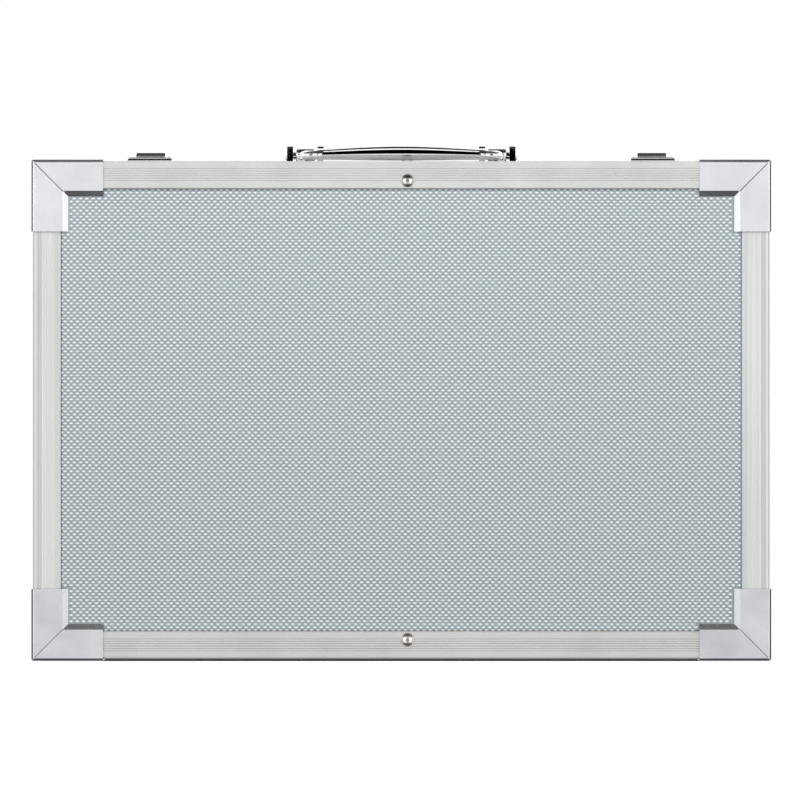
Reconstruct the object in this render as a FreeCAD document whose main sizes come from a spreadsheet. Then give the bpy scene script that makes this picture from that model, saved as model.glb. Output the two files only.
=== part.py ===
import FreeCAD, Part
import math
import os
from types import SimpleNamespace

import Sketcher
from FreeCAD import Placement, Rotation, Vector

# Art supply case: an aluminium-framed shell in two halves, hinged along its lower edge.
# The case stands on its lower corner caps. X runs along its width, Z is up, and the closed
# halves meet at y = 0: the lid is the front half (y below 0), the base is the rear half.
# The origin is the middle of the footprint, and every length is in millimetres.

# Driving sizes: name, value, what it measures.
SIZES = (
    ("case_width", 400.0, "width over the corner caps"),
    ("case_height", 271.0, "height over the corner caps"),
    ("case_depth", 65.0, "depth over the corner caps, both halves closed"),
    ("seam_gap", 0.3, "gap between the rims of the closed halves"),
    ("lip_width", 15.1, "rail lip seen on the big faces"),
    ("lip_sheet", 1.2, "thickness of the rail lip"),
    ("lip_slope", 0.6, "slope along the lip's inner edge"),
    ("wall_sheet", 1.4, "thickness of the rail wall"),
    ("edge_round", 1.5, "radius of the rail's outer edge"),
    ("flange_width", 8.0, "reach of the inner flange that holds the panel"),
    ("flange_sheet", 1.0, "thickness of that flange"),
    ("rim_width", 4.0, "width of the rim bar at the seam"),
    ("rim_depth", 5.0, "depth of the rim bar"),
    ("tongue_width", 1.2, "width of the lid's rim tongue"),
    ("tongue_rise", 1.6, "how far the tongue stands past the seam"),
    ("tongue_inset", 2.0, "middle of the tongue from the rail's outer side"),
    ("tongue_play", 0.35, "room round the tongue in the base's rim groove"),
    ("flute_pitch", 1.3, "spacing of the fine flutes"),
    ("flute_width", 0.9, "width of a flute"),
    ("flute_depth", 0.2, "depth of a flute"),
    ("lip_flutes", 6, "flutes on the lip"),
    ("lip_flute_start", 4.3, "first lip flute from the outer edge"),
    ("wall_flutes", 12, "flutes on the wall"),
    ("wall_flute_start", 8.6, "first wall flute from the big face"),
    ("panel_sheet", 3.0, "thickness of the faced board panels"),
    ("panel_play", 0.1, "room for a panel across its slot"),
    ("panel_inset", 0.4, "room for a panel at the bottom of its slot"),
    ("cap_sheet", 0.8, "corner cap sheet"),
    ("cap_seat", 0.1, "room between a cap and the rails under it"),
    ("cap_leg", 39.0, "length of a cap's legs"),
    ("cap_face", 17.0, "width of a cap's legs on the big face"),
    ("cap_bevel", 3.0, "width of the bevel down to the panel"),
    ("cap_bevel_gap", 0.1, "room between the bevel's edge and the panel"),
    ("cap_fold", 2.2, "outer radius of the folds of a cap"),
    ("cap_setback", 6.0, "edge of a cap from the seam"),
    ("cap_tip", 1.2, "flat on the outer corner of a cap"),
    ("crease_width", 0.6, "width of the mitre crease on a cap"),
    ("crease_depth", 0.45, "depth of that crease"),
    ("cap_rivet_along", 25.0, "cap rivet from the cap's corner"),
    ("cap_rivet_depth", 16.5, "cap rivet from the seam"),
    ("hinge_height", 2.6, "hinge axis above the ground"),
    ("hinge_length", 360.0, "length of the hinge"),
    ("hinge_knuckles", 20, "knuckles of both leaves together"),
    ("hinge_barrel", 2.2, "outer radius of a knuckle"),
    ("hinge_leaf", 0.8, "thickness of a leaf"),
    ("hinge_leaf_width", 18.0, "edge of a leaf from the hinge axis"),
    ("hinge_setback", 2.6, "bottom rails' edges from the seam"),
    ("hinge_seat_margin", 1.0, "bottom rail's seat past the edge of the leaf"),
    ("hinge_notch", 4.0, "height of the side rails' lower notch"),
    ("knuckle_gap", 0.3, "gap between neighbouring knuckles"),
    ("pin_play", 0.05, "running clearance round a pin"),
    ("hinge_rivet_count", 8, "rivets of one leaf"),
    ("hinge_rivet_depth", 11.0, "leaf rivets from the hinge axis"),
    ("face_rivet_head", 3.65, "head radius of the big face rivets"),
    ("face_rivet_rise", 1.9, "head height of the big face rivets"),
    ("face_rivet_shank", 1.6, "shank radius of the big face rivets"),
    ("face_rivet_offset", 3.4, "big face rivets off the case's middle"),
    ("face_rivet_inset", 10.6, "big face rivets from the rail's outer side"),
    ("top_rivet_depth", 21.0, "lid's top rivet from the seam"),
    ("small_rivet_head", 2.5, "head radius of the small rivets"),
    ("small_rivet_rise", 1.1, "head height of the small rivets"),
    ("small_rivet_shank", 1.3, "shank radius of the small rivets"),
    ("rivet_bore", 0.9, "radius of the hole left in a blind rivet's head"),
    ("rivet_bore_depth", 0.8, "depth of that hole"),
    ("rivet_play", 0.05, "room round a rivet shank"),
    ("tray_sheet", 1.4, "walls of the moulded trays"),
    ("tray_face", 1.6, "tray's top from the seam"),
    ("tray_play", 0.6, "room between a tray and the rims"),
    ("tray_border", 6.0, "tray's edge to its outer wells"),
    ("tray_gap", 8.0, "land between two wells"),
    ("pencil_well", 64.0, "height of the pencil wells"),
    ("brush_well", 20.0, "height of the brush well"),
    ("pad_well", 248.0, "width of the paper pad well in the lid"),
    ("bracket_centre", 52.9, "handle brackets from the case's middle"),
    ("bracket_width", 20.2, "bracket over its two ears"),
    ("bracket_ear", 3.4, "thickness of an ear"),
    ("bracket_round", 5.4, "radius of an ear's top about the pin"),
    ("bracket_foot", 36.0, "length of a bracket's foot"),
    ("bracket_foot_width", 15.0, "width of a bracket's foot"),
    ("bracket_foot_sheet", 1.6, "thickness of a bracket's foot"),
    ("bracket_foot_round", 3.0, "radius of the foot's corners"),
    ("bracket_rivet_reach", 14.9, "bracket rivets from the bracket's middle"),
    ("pivot_depth", 15.0, "handle pivot behind the seam"),
    ("pivot_rise", 5.8, "handle pivot above the top rail"),
    ("handle_pin", 2.0, "radius of the handle pins"),
    ("handle_pin_head", 4.0, "radius of a handle pin's head"),
    ("handle_pin_rise", 1.6, "height of a handle pin's head"),
    ("eye_length", 10.8, "length of the grip's eyes"),
    ("eye_radius", 4.0, "radius of the grip's eyes"),
    ("grip_reach", 27.5, "middle of the grip from the pivot"),
    ("grip_bow", 3.0, "bow of the grip between its bends"),
    ("grip_bend", 13.0, "radius of the grip's bends"),
    ("grip_thick", 7.0, "thickness of the grip at its middle"),
    ("grip_wide", 11.0, "width of the grip at its middle"),
    ("arm_thick", 5.6, "thickness of the grip's arms"),
    ("arm_wide", 7.0, "width of the grip's arms"),
    ("grip_rest_gap", 0.8, "folded grip above the lid"),
    ("latch_centre", 136.5, "latches from the case's middle"),
    ("latch_sheet", 0.8, "latch sheet"),
    ("latch_plate_width", 18.0, "width of a latch's base plate"),
    ("latch_plate_near", 3.0, "base plate's front edge behind the seam"),
    ("latch_plate_far", 29.0, "base plate's rear edge behind the seam"),
    ("latch_side_gap", 0.3, "room between the latch's side walls"),
    ("latch_ear_span", 11.0, "base plate ears over their outsides"),
    ("latch_ear_sheet", 1.0, "thickness of those ears"),
    ("latch_ear_round", 1.7, "radius of the ears about the lever pin"),
    ("lever_pin", 0.9, "radius of the lever pin"),
    ("lever_pin_depth", 8.0, "lever pin behind the seam"),
    ("lever_pin_rise", 4.0, "lever pin above the top rail"),
    ("lever_nose", 2.2, "lever side walls round its pin"),
    ("lever_top", 2.8, "top of the lever above its pin"),
    ("lever_wall_length", 13.0, "lever side walls behind its pin"),
    ("lever_top_start", 0.6, "front of the lever's top behind its pin"),
    ("lever_flat", 16.0, "flat of the lever behind its pin"),
    ("lever_tip", 20.5, "tip of the lever behind its pin"),
    ("lever_tip_lift", 1.2, "how far the tip is turned up"),
    ("bail_pin", 0.9, "radius of the bail pins"),
    ("bail_pin_back", 6.0, "bail pins behind the lever pin"),
    ("bail_pin_drop", 0.8, "bail pins below the lever pin"),
    ("bail_eye", 1.9, "radius of the bail's eyes"),
    ("bail_sheet", 1.0, "bail sheet"),
    ("bail_top", 5.6, "bail's top above the top rail"),
    ("bail_reach", 13.8, "bail's front in front of the seam"),
    ("bail_hood", 11.5, "length of the bail's hood"),
    ("bail_nose", 1.6, "slope at the front of the bail's hood"),
    ("bail_round", 0.6, "radius of the hood's side edges"),
    ("bail_lip_width", 12.0, "width of the bail's hooked lip"),
    ("bail_lip_clear", 0.2, "bail's lip above the lid rail"),
    ("strike_width", 24.0, "width of a strike"),
    ("strike_rise", 2.8, "height of a strike's dome"),
    ("strike_front", 21.0, "strike's front edge in front of the seam"),
    ("strike_back", 9.3, "rear of the strike's dome in front of the seam"),
    ("strike_tail", 2.2, "strike's tail in front of the seam"),
    ("strike_round", 1.7, "radius of the dome's top edges"),
    ("strike_play", 0.4, "room round the bail's lip in its slot"),
    ("strike_rivet_spread", 5.5, "strike rivets from its middle"),
    ("strike_rivet_depth", 5.6, "strike rivets in front of the seam"),
    ("latch_rivet_depth", 23.5, "latch plate rivets behind the seam"),
    ("latch_rivet_spread", 3.6, "latch plate rivets from its middle"),
)


class Size:
    """A length together with the sheet expression that gives it."""

    def __init__(self, value, text):
        self.value = float(value)
        self.text = text

    def __add__(self, other):
        return Size(self.value + number(other), f"({self.text} + {wording(other)})")

    def __sub__(self, other):
        return Size(self.value - number(other), f"({self.text} - {wording(other)})")

    def __mul__(self, other):
        return Size(self.value * number(other), f"({self.text} * {wording(other)})")

    def __truediv__(self, other):
        return Size(self.value / number(other), f"({self.text} / {wording(other)})")

    def __rsub__(self, other):
        return Size(number(other) - self.value, f"({wording(other)} - {self.text})")

    def __neg__(self):
        return Size(-self.value, f"(-{self.text})")

    __radd__ = __add__
    __rmul__ = __mul__


def number(item):
    """The value of a Size or of a plain number."""
    return item.value if isinstance(item, Size) else float(item)


def wording(item):
    """The expression of a Size or of a plain number."""
    return item.text if isinstance(item, Size) else repr(float(item))


def write_sheet(document):
    """Puts the driving sizes into the sheet and returns them by name."""
    sheet = document.addObject("Spreadsheet::Sheet", "Sizes")
    named = {}
    for row, (alias, value, meaning) in enumerate(SIZES, start=1):
        sheet.set(f"A{row}", meaning)
        sheet.set(f"B{row}", str(value))
        sheet.setAlias(f"B{row}", alias)
        named[alias] = Size(value, f"Sizes.{alias}")
    document.recompute()
    return SimpleNamespace(**named)


doc = FreeCAD.newDocument("art_case")
S = write_sheet(doc)
parts = []

# Places worked out from the driving sizes
frame_gap = S.cap_sheet + S.cap_seat
frame_width = S.case_width - 2 * frame_gap
frame_height = S.case_height - 2 * frame_gap
frame_bottom = frame_gap
frame_top = S.case_height - frame_gap
frame_middle = S.case_height / 2
frame_side = frame_width / 2
frame_face = S.case_depth / 2 - frame_gap
seam_half = S.seam_gap / 2
panel_front = frame_face - S.lip_sheet
panel_back = panel_front - S.panel_sheet
hinge_seat = S.hinge_height + S.hinge_barrel - S.hinge_leaf
leaf_top = hinge_seat + S.hinge_leaf
small_rivet_hole = S.small_rivet_shank + S.rivet_play
face_rivet_hole = S.face_rivet_shank + S.rivet_play
lever_half = S.latch_ear_span / 2 + S.latch_side_gap + S.latch_sheet
bail_inner = lever_half + S.latch_side_gap
bail_half = bail_inner + S.bail_sheet
bail_pin_depth = S.lever_pin_depth + S.bail_pin_back
bail_pin_rise = S.lever_pin_rise - S.bail_pin_drop

# Turns from the pattern piece, drawn on the lid at the lower left, to each place
QUARTER = Rotation(Vector(0, 1, 0), 90)
HALF = Rotation(Vector(0, 1, 0), 180)
THREE_QUARTER = Rotation(Vector(0, 1, 0), 270)
NONE = Rotation()
TO_BASE = Rotation(Vector(0, 0, 1), 180)
UP = Vector(0, 0, 1)
FRONT = Vector(0, -1, 0)
REAR = Vector(0, 1, 0)

# Share of the full radius at a rounded end, which leaves a short flat between its arcs
NEARLY_ROUND = 0.95
# Coordinates closer than this are the same place
SAME_PLACE = 1e-6
# Where the grip's ovals stand: shares along an arm, degrees round a bend, shares along the bar
GRIP_ARM_SHARES = (0.15, 0.6)
GRIP_BEND_TURNS = (10, 36, 62)
GRIP_BAR_SHARES = (0.9, 0.6, 0.3, 0.0)


def bind(target, name, size):
    """Sets a property, tied to the sheet where the size comes from it."""
    if isinstance(size, Size):
        target.setExpression(name, size.text)
    else:
        setattr(target, name, size)


def place(target, x, y, z, turn=NONE):
    """Turns an object and puts it at a point tied to the sheet."""
    target.Placement = Placement(Vector(number(x), number(y), number(z)), turn)
    for axis, size in zip("xyz", (x, y, z)):
        if isinstance(size, Size):
            target.setExpression(f"Placement.Base.{axis}", size.text)


def new_body(label):
    """Starts a sub-part of its own."""
    body = doc.addObject("PartDesign::Body", label)
    body.Label = label
    parts.append(body)
    return body


def origin_item(body, role):
    """Finds one of a body's own planes or axes."""
    for item in body.Origin.OriginFeatures:
        if item.Role == role:
            return item
    raise KeyError(role)


def sketch_on(body, plane, offset=0.0):
    """Starts a sketch on one of the body's planes, moved along the plane's normal."""
    sketch = body.newObject("Sketcher::SketchObject", f"{body.Name}_sketch")
    sketch.AttachmentSupport = [(origin_item(body, plane), "")]
    sketch.MapMode = "FlatFace"
    sketch.AttachmentOffset = Placement(Vector(0, 0, number(offset)), NONE)
    if isinstance(offset, Size):
        sketch.setExpression("AttachmentOffset.Base.z", offset.text)
    return sketch


def constrain(sketch, rules):
    """Adds constraints, each given with the size that drives it or None."""
    first = sketch.ConstraintCount
    sketch.addConstraint([rule for rule, size in rules])
    for index, (rule, size) in enumerate(rules, start=first):
        if isinstance(size, Size):
            sketch.setExpression(f"Constraints[{index}]", size.text)


def pin(item, end, point):
    """Rules that hold one end of a line, or a centre, at a point."""
    rules = []
    for kind, axis, size in zip(("DistanceX", "DistanceY"), (-2, -1), point):
        if abs(number(size)) < 1e-9:
            rules.append((Sketcher.Constraint("PointOnObject", item, end, axis), None))
        else:
            rules.append((Sketcher.Constraint(kind, -1, 1, item, end, number(size)), size))
    return rules


def flat(point):
    """A sketch point as a vector."""
    return Vector(number(point[0]), number(point[1]), 0)


def heading(start, end):
    """Whole-number direction of an edge that runs along one of the axes."""
    run = flat(end) - flat(start)
    return round(run.x / run.Length), round(run.y / run.Length)


def round_corner(before, corner, after):
    """Tangent points and centre of a rounded square corner."""
    x, y, radius = corner
    ahead_x, ahead_y = heading(before, corner)
    leave_x, leave_y = heading(corner, after)
    enter = (x - radius * ahead_x, y - radius * ahead_y)
    leave = (x + radius * leave_x, y + radius * leave_y)
    centre = flat(enter) + Vector(leave_x, leave_y, 0) * number(radius)
    turns_left = ahead_x * leave_y - ahead_y * leave_x > 0
    return enter, leave, centre, turns_left


def corner_arc(enter, leave, centre, radius, turns_left):
    """The arc of a rounded corner, which always runs anticlockwise."""
    ends = (enter, leave) if turns_left else (leave, enter)
    angles = [math.atan2(flat(p).y - centre.y, flat(p).x - centre.x) for p in ends]
    if angles[1] < angles[0]:
        angles[1] += 2 * math.pi
    return Part.ArcOfCircle(Part.Circle(centre, UP, number(radius)), angles[0], angles[1])


def outline(sketch, corners):
    """Draws a closed outline; a corner with a third value is rounded by that radius."""
    count = len(corners)
    rounds = {}
    ends = []
    for i, corner in enumerate(corners):
        if len(corner) == 3:
            rounds[i] = round_corner(corners[i - 1], corner, corners[(i + 1) % count])
            ends.append(rounds[i][:2])
        else:
            ends.append((corner, corner))
    first = sketch.GeometryCount
    lines = [Part.LineSegment(flat(ends[i][1]), flat(ends[(i + 1) % count][0])) for i in range(count)]
    sketch.addGeometry(lines, False)
    rules = []
    for i in range(count):
        following = (i + 1) % count
        rules += pin(first + i, 1, ends[i][1])
        if following not in rounds:
            rules.append((Sketcher.Constraint("Coincident", first + i, 2, first + following, 1), None))
            continue
        enter, leave, centre, turns_left = rounds[following]
        radius = corners[following][2]
        arc = sketch.addGeometry(corner_arc(enter, leave, centre, radius, turns_left), False)
        enter_end, leave_end = (1, 2) if turns_left else (2, 1)
        rules += pin(first + i, 2, enter)
        rules.append((Sketcher.Constraint("Coincident", arc, enter_end, first + i, 2), None))
        rules.append((Sketcher.Constraint("Coincident", arc, leave_end, first + following, 1), None))
        rules.append((Sketcher.Constraint("Radius", arc, number(radius)), radius))
    constrain(sketch, rules)


def rectangle(sketch, left, low, right, high):
    """Draws a rectangle between two corners."""
    outline(sketch, [(left, low), (right, low), (right, high), (left, high)])


def circle(sketch, centre, radius):
    """Draws a circle."""
    item = sketch.addGeometry(Part.Circle(flat(centre), UP, number(radius)), False)
    rules = pin(item, 3, centre)
    rules.append((Sketcher.Constraint("Radius", item, number(radius)), radius))
    constrain(sketch, rules)


def pad(body, sketch, length, symmetric=False):
    """Extrudes a sketch along its normal, or half to each side."""
    feature = body.newObject("PartDesign::Pad", f"{body.Name}_pad")
    feature.Profile = sketch
    bind(feature, "Length", length)
    if symmetric:
        feature.SideType = "Symmetric"
    return feature


def cut_through(body, sketch):
    """Cuts a sketch through the whole body, to both sides."""
    feature = body.newObject("PartDesign::Pocket", f"{body.Name}_cut")
    feature.Profile = sketch
    feature.Type = "ThroughAll"
    feature.SideType = "Symmetric"
    return feature


def cut_deep(body, sketch, depth, symmetric=False, along_normal=False):
    """Cuts a sketch to a depth, against its normal unless told otherwise."""
    feature = body.newObject("PartDesign::Pocket", f"{body.Name}_cut")
    feature.Profile = sketch
    bind(feature, "Length", depth)
    if symmetric:
        feature.SideType = "Symmetric"
    feature.Reversed = along_normal
    return feature


def repeat(body, features, axis, pitch, count):
    """Repeats features along one of the body's axes."""
    pattern = body.newObject("PartDesign::LinearPattern", f"{body.Name}_pattern")
    pattern.Originals = features
    pattern.Direction = (origin_item(body, axis), [""])
    pattern.Mode = "Spacing"
    bind(pattern, "Offset", pitch)
    pattern.setExpression("Occurrences", count.text)
    body.Tip = pattern
    return pattern


def drill(body, plane, centres, radius):
    """Drills round holes through the body, square to a plane."""
    sketch = sketch_on(body, plane)
    for centre in centres:
        circle(sketch, centre, radius)
    return cut_through(body, sketch)


def round_edges(body, radius, chosen):
    """Rounds the edges of the body's last feature for which chosen(edge) holds."""
    doc.recompute()
    base = body.Tip
    names = [f"Edge{i}" for i, edge in enumerate(base.Shape.Edges, start=1) if chosen(edge)]
    fillet = body.newObject("PartDesign::Fillet", f"{body.Name}_round")
    fillet.Base = (base, names)
    bind(fillet, "Radius", radius)
    return fillet


def rim_corners(rim):
    """The rail section at the seam, from the outer side inwards."""
    low = S.tongue_inset - S.tongue_width / 2
    high = S.tongue_inset + S.tongue_width / 2
    bar = -(seam_half + S.rim_depth)
    if rim == "hinge":
        seat = hinge_seat - frame_bottom
        seat_end = -(S.hinge_leaf_width + S.hinge_seat_margin)
        edge = -S.hinge_setback
        return [(edge, 0), (edge, seat), (seat_end, seat), (seat_end, S.wall_sheet)]
    if rim == "groove":
        tip = -(seam_half + S.tongue_rise + S.tongue_play)
        low = low - S.tongue_play
        high = high + S.tongue_play
    else:
        tip = S.tongue_rise
    return [
        (-seam_half, 0),
        (-seam_half, low),
        (tip, low),
        (tip, high),
        (-seam_half, high),
        (-seam_half, S.rim_width),
        (bar, S.rim_width),
        (bar, S.wall_sheet),
    ]


def rail_section(rim):
    """The section of a rail: lip, panel slot, wall and rim, as (depth, distance inwards)."""
    slot_far = -(panel_back - S.panel_play)
    flange_far = slot_far + S.flange_sheet
    return [
        (-frame_face, 0, S.edge_round),
        *rim_corners(rim),
        (flange_far, S.wall_sheet),
        (flange_far, S.flange_width),
        (slot_far, S.flange_width),
        (slot_far, S.wall_sheet),
        (-panel_front, S.wall_sheet),
        (-panel_front, S.lip_width),
        (S.lip_slope - frame_face, S.lip_width),
        (-frame_face, S.lip_width - S.lip_slope),
    ]


def cut_flutes(body):
    """Fine flutes along the rail, on its lip and on its wall."""
    half = S.flute_width / 2
    lip = sketch_on(body, "YZ_Plane")
    middle = S.lip_flute_start
    floor = S.flute_depth - frame_face
    outline(lip, [(-frame_face, middle - half), (floor, middle), (-frame_face, middle + half)])
    repeat(body, [cut_through(body, lip)], "Z_Axis", S.flute_pitch, S.lip_flutes)
    wall = sketch_on(body, "YZ_Plane")
    middle = S.wall_flute_start - frame_face
    outline(wall, [(middle - half, 0), (middle + half, 0), (middle, S.flute_depth)])
    repeat(body, [cut_through(body, wall)], "Y_Axis", S.flute_pitch, S.wall_flutes)


def cut_mitres(body, length):
    """Saws both ends of a rail at 45 degrees."""
    reach = S.lip_width + S.rim_width
    end = length / 2
    sketch = sketch_on(body, "XZ_Plane")
    outline(sketch, [(end, 0), (end, reach), (end - reach, reach)])
    outline(sketch, [(-end, 0), (reach - end, reach), (-end, reach)])
    cut_through(body, sketch)


def cut_hinge_notch(body, length, low_end):
    """Clears a side rail's lower seam corner, which turns past the other half."""
    end = length / 2 * low_end
    inner = end - S.hinge_notch * low_end
    sketch = sketch_on(body, "XY_Plane")
    rectangle(sketch, inner, -S.hinge_setback, end, S.tongue_rise + S.seam_gap)
    cut_through(body, sketch)


def rail(label, length, rim, low_end=0):
    """A rail of one half, drawn as the lid's bottom rail is."""
    body = new_body(label)
    section = sketch_on(body, "YZ_Plane")
    outline(section, rail_section(rim))
    pad(body, section, length, symmetric=True)
    cut_flutes(body)
    cut_mitres(body, length)
    if low_end:
        cut_hinge_notch(body, length, low_end)
    return body


def hinge_rivet_rows():
    """Places of one leaf's rivets along the hinge."""
    pitch = S.hinge_length / S.hinge_rivet_count
    count = int(S.hinge_rivet_count.value)
    return [pitch * (i + 0.5) - S.hinge_length / 2 for i in range(count)]


def cap_rivet_rows(rail_sign):
    """Cap rivets along a side rail, from its middle, as drawn."""
    reach = frame_middle - S.cap_rivet_along
    return [(reach * rail_sign, -S.cap_rivet_depth), (-reach * rail_sign, -S.cap_rivet_depth)]


def make_rails():
    """The eight mitred rails, drilled for what is riveted to them."""
    offset = S.face_rivet_offset
    hinge_holes = [(x, -S.hinge_rivet_depth) for x in hinge_rivet_rows()]
    for half, turn in (("lid", NONE), ("base", TO_BASE)):
        side = 1 if half == "lid" else -1
        rim = "tongue" if half == "lid" else "groove"
        bottom = rail(f"{half}_rail_bottom", frame_width, "hinge")
        drill(bottom, "XY_Plane", hinge_holes, small_rivet_hole)
        drill(bottom, "XZ_Plane", [(offset, S.face_rivet_inset)], face_rivet_hole)
        place(bottom, 0, 0, frame_bottom, turn)
        top = rail(f"{half}_rail_top", frame_width, rim)
        drill(top, "XZ_Plane", [(-offset, S.face_rivet_inset)], face_rivet_hole)
        drill_top(top, half)
        place(top, 0, 0, frame_top, turn * HALF)
        for name, sign in (("left", 1), ("right", -1)):
            low_end = sign * side
            body = rail(f"{half}_rail_{name}", frame_height, rim, low_end)
            drill(body, "XY_Plane", cap_rivet_rows(low_end), small_rivet_hole)
            spin = QUARTER if low_end > 0 else THREE_QUARTER
            place(body, -sign * frame_side, 0, frame_middle, turn * spin)


def drill_top(body, half):
    """Drills a top rail for the hardware on it."""
    latches = (S.latch_centre, -S.latch_centre)
    if half == "lid":
        spread = (S.strike_rivet_spread, -S.strike_rivet_spread)
        holes = [(x + dx, -S.strike_rivet_depth) for x in latches for dx in spread]
        drill(body, "XY_Plane", [(-S.face_rivet_offset, -S.top_rivet_depth)], face_rivet_hole)
    else:
        spread = (S.latch_rivet_spread, -S.latch_rivet_spread)
        holes = [(x + dx, -S.latch_rivet_depth) for x in latches for dx in spread]
        brackets = (S.bracket_centre, -S.bracket_centre)
        reach = (S.bracket_rivet_reach, -S.bracket_rivet_reach)
        holes += [(x + dx, -S.pivot_depth) for x in brackets for dx in reach]
    drill(body, "XY_Plane", holes, small_rivet_hole)


def make_panels():
    """The two faced boards held in the rails' slots."""
    room = S.wall_sheet + S.panel_inset
    half = frame_side - room
    low = frame_bottom + room
    high = frame_top - room
    inset = S.face_rivet_inset
    offset = S.face_rivet_offset
    for label, turn in (("lid_panel", NONE), ("base_panel", TO_BASE)):
        body = new_body(label)
        sketch = sketch_on(body, "XZ_Plane", panel_back)
        rectangle(sketch, -half, low, half, high)
        pad(body, sketch, S.panel_sheet)
        spots = [(offset, frame_bottom + inset), (offset, frame_top - inset)]
        drill(body, "XZ_Plane", spots, face_rivet_hole)
        place(body, 0, 0, 0, turn)


def cap_section():
    """The section of a cap's sheet: wing, fold, face and bevel, as (depth, distance inwards)."""
    face = -S.case_depth / 2
    inner = face + S.cap_sheet
    bevel_end = -(panel_front + S.cap_bevel_gap)
    drop = bevel_end - face
    inner_bevel = S.cap_bevel * (drop - S.cap_sheet) / drop
    inner_fold = S.cap_fold - S.cap_sheet
    return [
        (-S.cap_setback, 0),
        (-S.cap_setback, S.cap_sheet),
        (inner, S.cap_sheet, inner_fold),
        (inner, S.cap_face),
        (bevel_end, S.cap_face + inner_bevel),
        (bevel_end, S.cap_face + S.cap_bevel),
        (face, S.cap_face),
        (face, 0, S.cap_fold),
    ]


def cap(label, rivet_on):
    """A pressed corner cap, drawn as the lid's lower left one: a sheet folded round two rails."""
    body = new_body(label)
    path = sketch_on(body, "XZ_Plane")
    path.addGeometry([Part.LineSegment(Vector(S.cap_leg.value, 0, 0), Vector(0, 0, 0)),
                      Part.LineSegment(Vector(0, 0, 0), Vector(0, S.cap_leg.value, 0))], False)
    rules = pin(0, 1, (S.cap_leg, 0)) + pin(0, 2, (0, 0)) + pin(1, 2, (0, S.cap_leg))
    rules.append((Sketcher.Constraint("Coincident", 0, 2, 1, 1), None))
    constrain(path, rules)
    section = sketch_on(body, "YZ_Plane", S.cap_leg)
    outline(section, cap_section())
    sweep = body.newObject("PartDesign::AdditivePipe", f"{label}_sweep")
    sweep.Profile = section
    sweep.Spine = (path, ["Edge1", "Edge2"])
    sweep.Transition = "Right corner"
    tip = sketch_on(body, "XZ_Plane")
    outline(tip, [(0, 0), (S.cap_tip, 0), (0, S.cap_tip)])
    cut_through(body, tip)
    crease = sketch_on(body, "XZ_Plane", S.case_depth / 2)
    reach = S.cap_face + S.cap_bevel
    half = S.crease_width / math.sqrt(2)
    outline(crease, [(half, 0), (reach + half, reach), (reach, reach + half), (0, half)])
    cut_deep(body, crease, S.crease_depth)
    if rivet_on == "upright":
        drill(body, "YZ_Plane", [(-S.cap_rivet_depth, S.cap_rivet_along)], small_rivet_hole)
    else:
        drill(body, "XY_Plane", [(S.cap_rivet_along, -S.cap_rivet_depth)], small_rivet_hole)
    return body


def make_caps():
    """Eight corner caps; each is the pattern cap turned into its corner."""
    left = -S.case_width / 2
    right = S.case_width / 2
    corners = (
        ("bottom", left, 0, NONE, "upright"),
        ("bottom", right, 0, THREE_QUARTER, "level"),
        ("top", right, S.case_height, HALF, "upright"),
        ("top", left, S.case_height, QUARTER, "level"),
    )
    for half, turn, mirror in (("lid", NONE, 1), ("base", TO_BASE, -1)):
        for level, x, z, spin, rivet_on in corners:
            side = "left" if number(x) * mirror < 0 else "right"
            body = cap(f"{half}_cap_{level}_{side}", rivet_on)
            place(body, x * mirror, 0, z, turn * spin)


def rivet_pattern(name, head, rise, shank, grip, bore):
    """A domed rivet on the Z axis: head above z = 0, shank below it, the bore in the head."""
    body = doc.addObject("PartDesign::Body", name)
    sketch = sketch_on(body, "XZ_Plane")
    radius = (head * head + rise * rise) / (2 * rise)
    centre_z = number(rise) - radius.value
    inner = bore if number(bore) > 0 else 0
    crown = centre_z + math.sqrt(radius.value ** 2 - number(inner) ** 2)
    floor = rise - S.rivet_bore_depth if number(bore) > 0 else rise
    start = math.atan2(-centre_z, head.value)
    stop = math.atan2(crown - centre_z, number(inner))
    crown_circle = Part.Circle(Vector(0, centre_z, 0), UP, radius.value)
    arc = sketch.addGeometry(Part.ArcOfCircle(crown_circle, start, stop))
    rules = pin(arc, 1, (head, 0))
    rules.append((Sketcher.Constraint("PointOnObject", arc, 3, -2), None))
    rules.append((Sketcher.Constraint("Radius", arc, radius.value), radius))
    points = [(inner, crown), (inner, floor), (0, floor), (0, -grip), (shank, -grip), (shank, 0), (head, 0)]
    if number(bore) == 0:
        points = [(0, rise)] + points[3:]
    first = sketch.GeometryCount
    sketch.addGeometry([Part.LineSegment(flat(a), flat(b)) for a, b in zip(points, points[1:])], False)
    last = first + len(points) - 2
    for i in range(first, last):
        rules.append((Sketcher.Constraint("Coincident", i, 2, i + 1, 1), None))
    for i, point in enumerate(points[1:-1], start=first):
        rules += pin(i, 2, point)
    rules.append((Sketcher.Constraint("Coincident", arc, 2, first, 1), None))
    rules.append((Sketcher.Constraint("Coincident", arc, 1, last, 2), None))
    if number(bore) > 0:
        rules.append((Sketcher.Constraint("DistanceX", -1, 1, arc, 2, number(bore)), bore))
    else:
        rules.append((Sketcher.Constraint("PointOnObject", arc, 2, -2), None))
    constrain(sketch, rules)
    spin = body.newObject("PartDesign::Revolution", f"{name}_spin")
    spin.Profile = sketch
    spin.ReferenceAxis = (sketch, ["V_Axis"])
    spin.Angle = 360
    return body


def group(label, pattern, places):
    """One node of equal pieces: each place is a point and the way the head faces."""
    links = []
    for i, (point, facing) in enumerate(places):
        link = doc.addObject("App::Link", f"{label}_{i}")
        link.LinkedObject = pattern
        place(link, *point, Rotation(UP, facing))
        links.append(link)
    compound = doc.addObject("Part::Compound", label)
    compound.Label = label
    compound.Links = links
    parts.append(compound)


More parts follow.
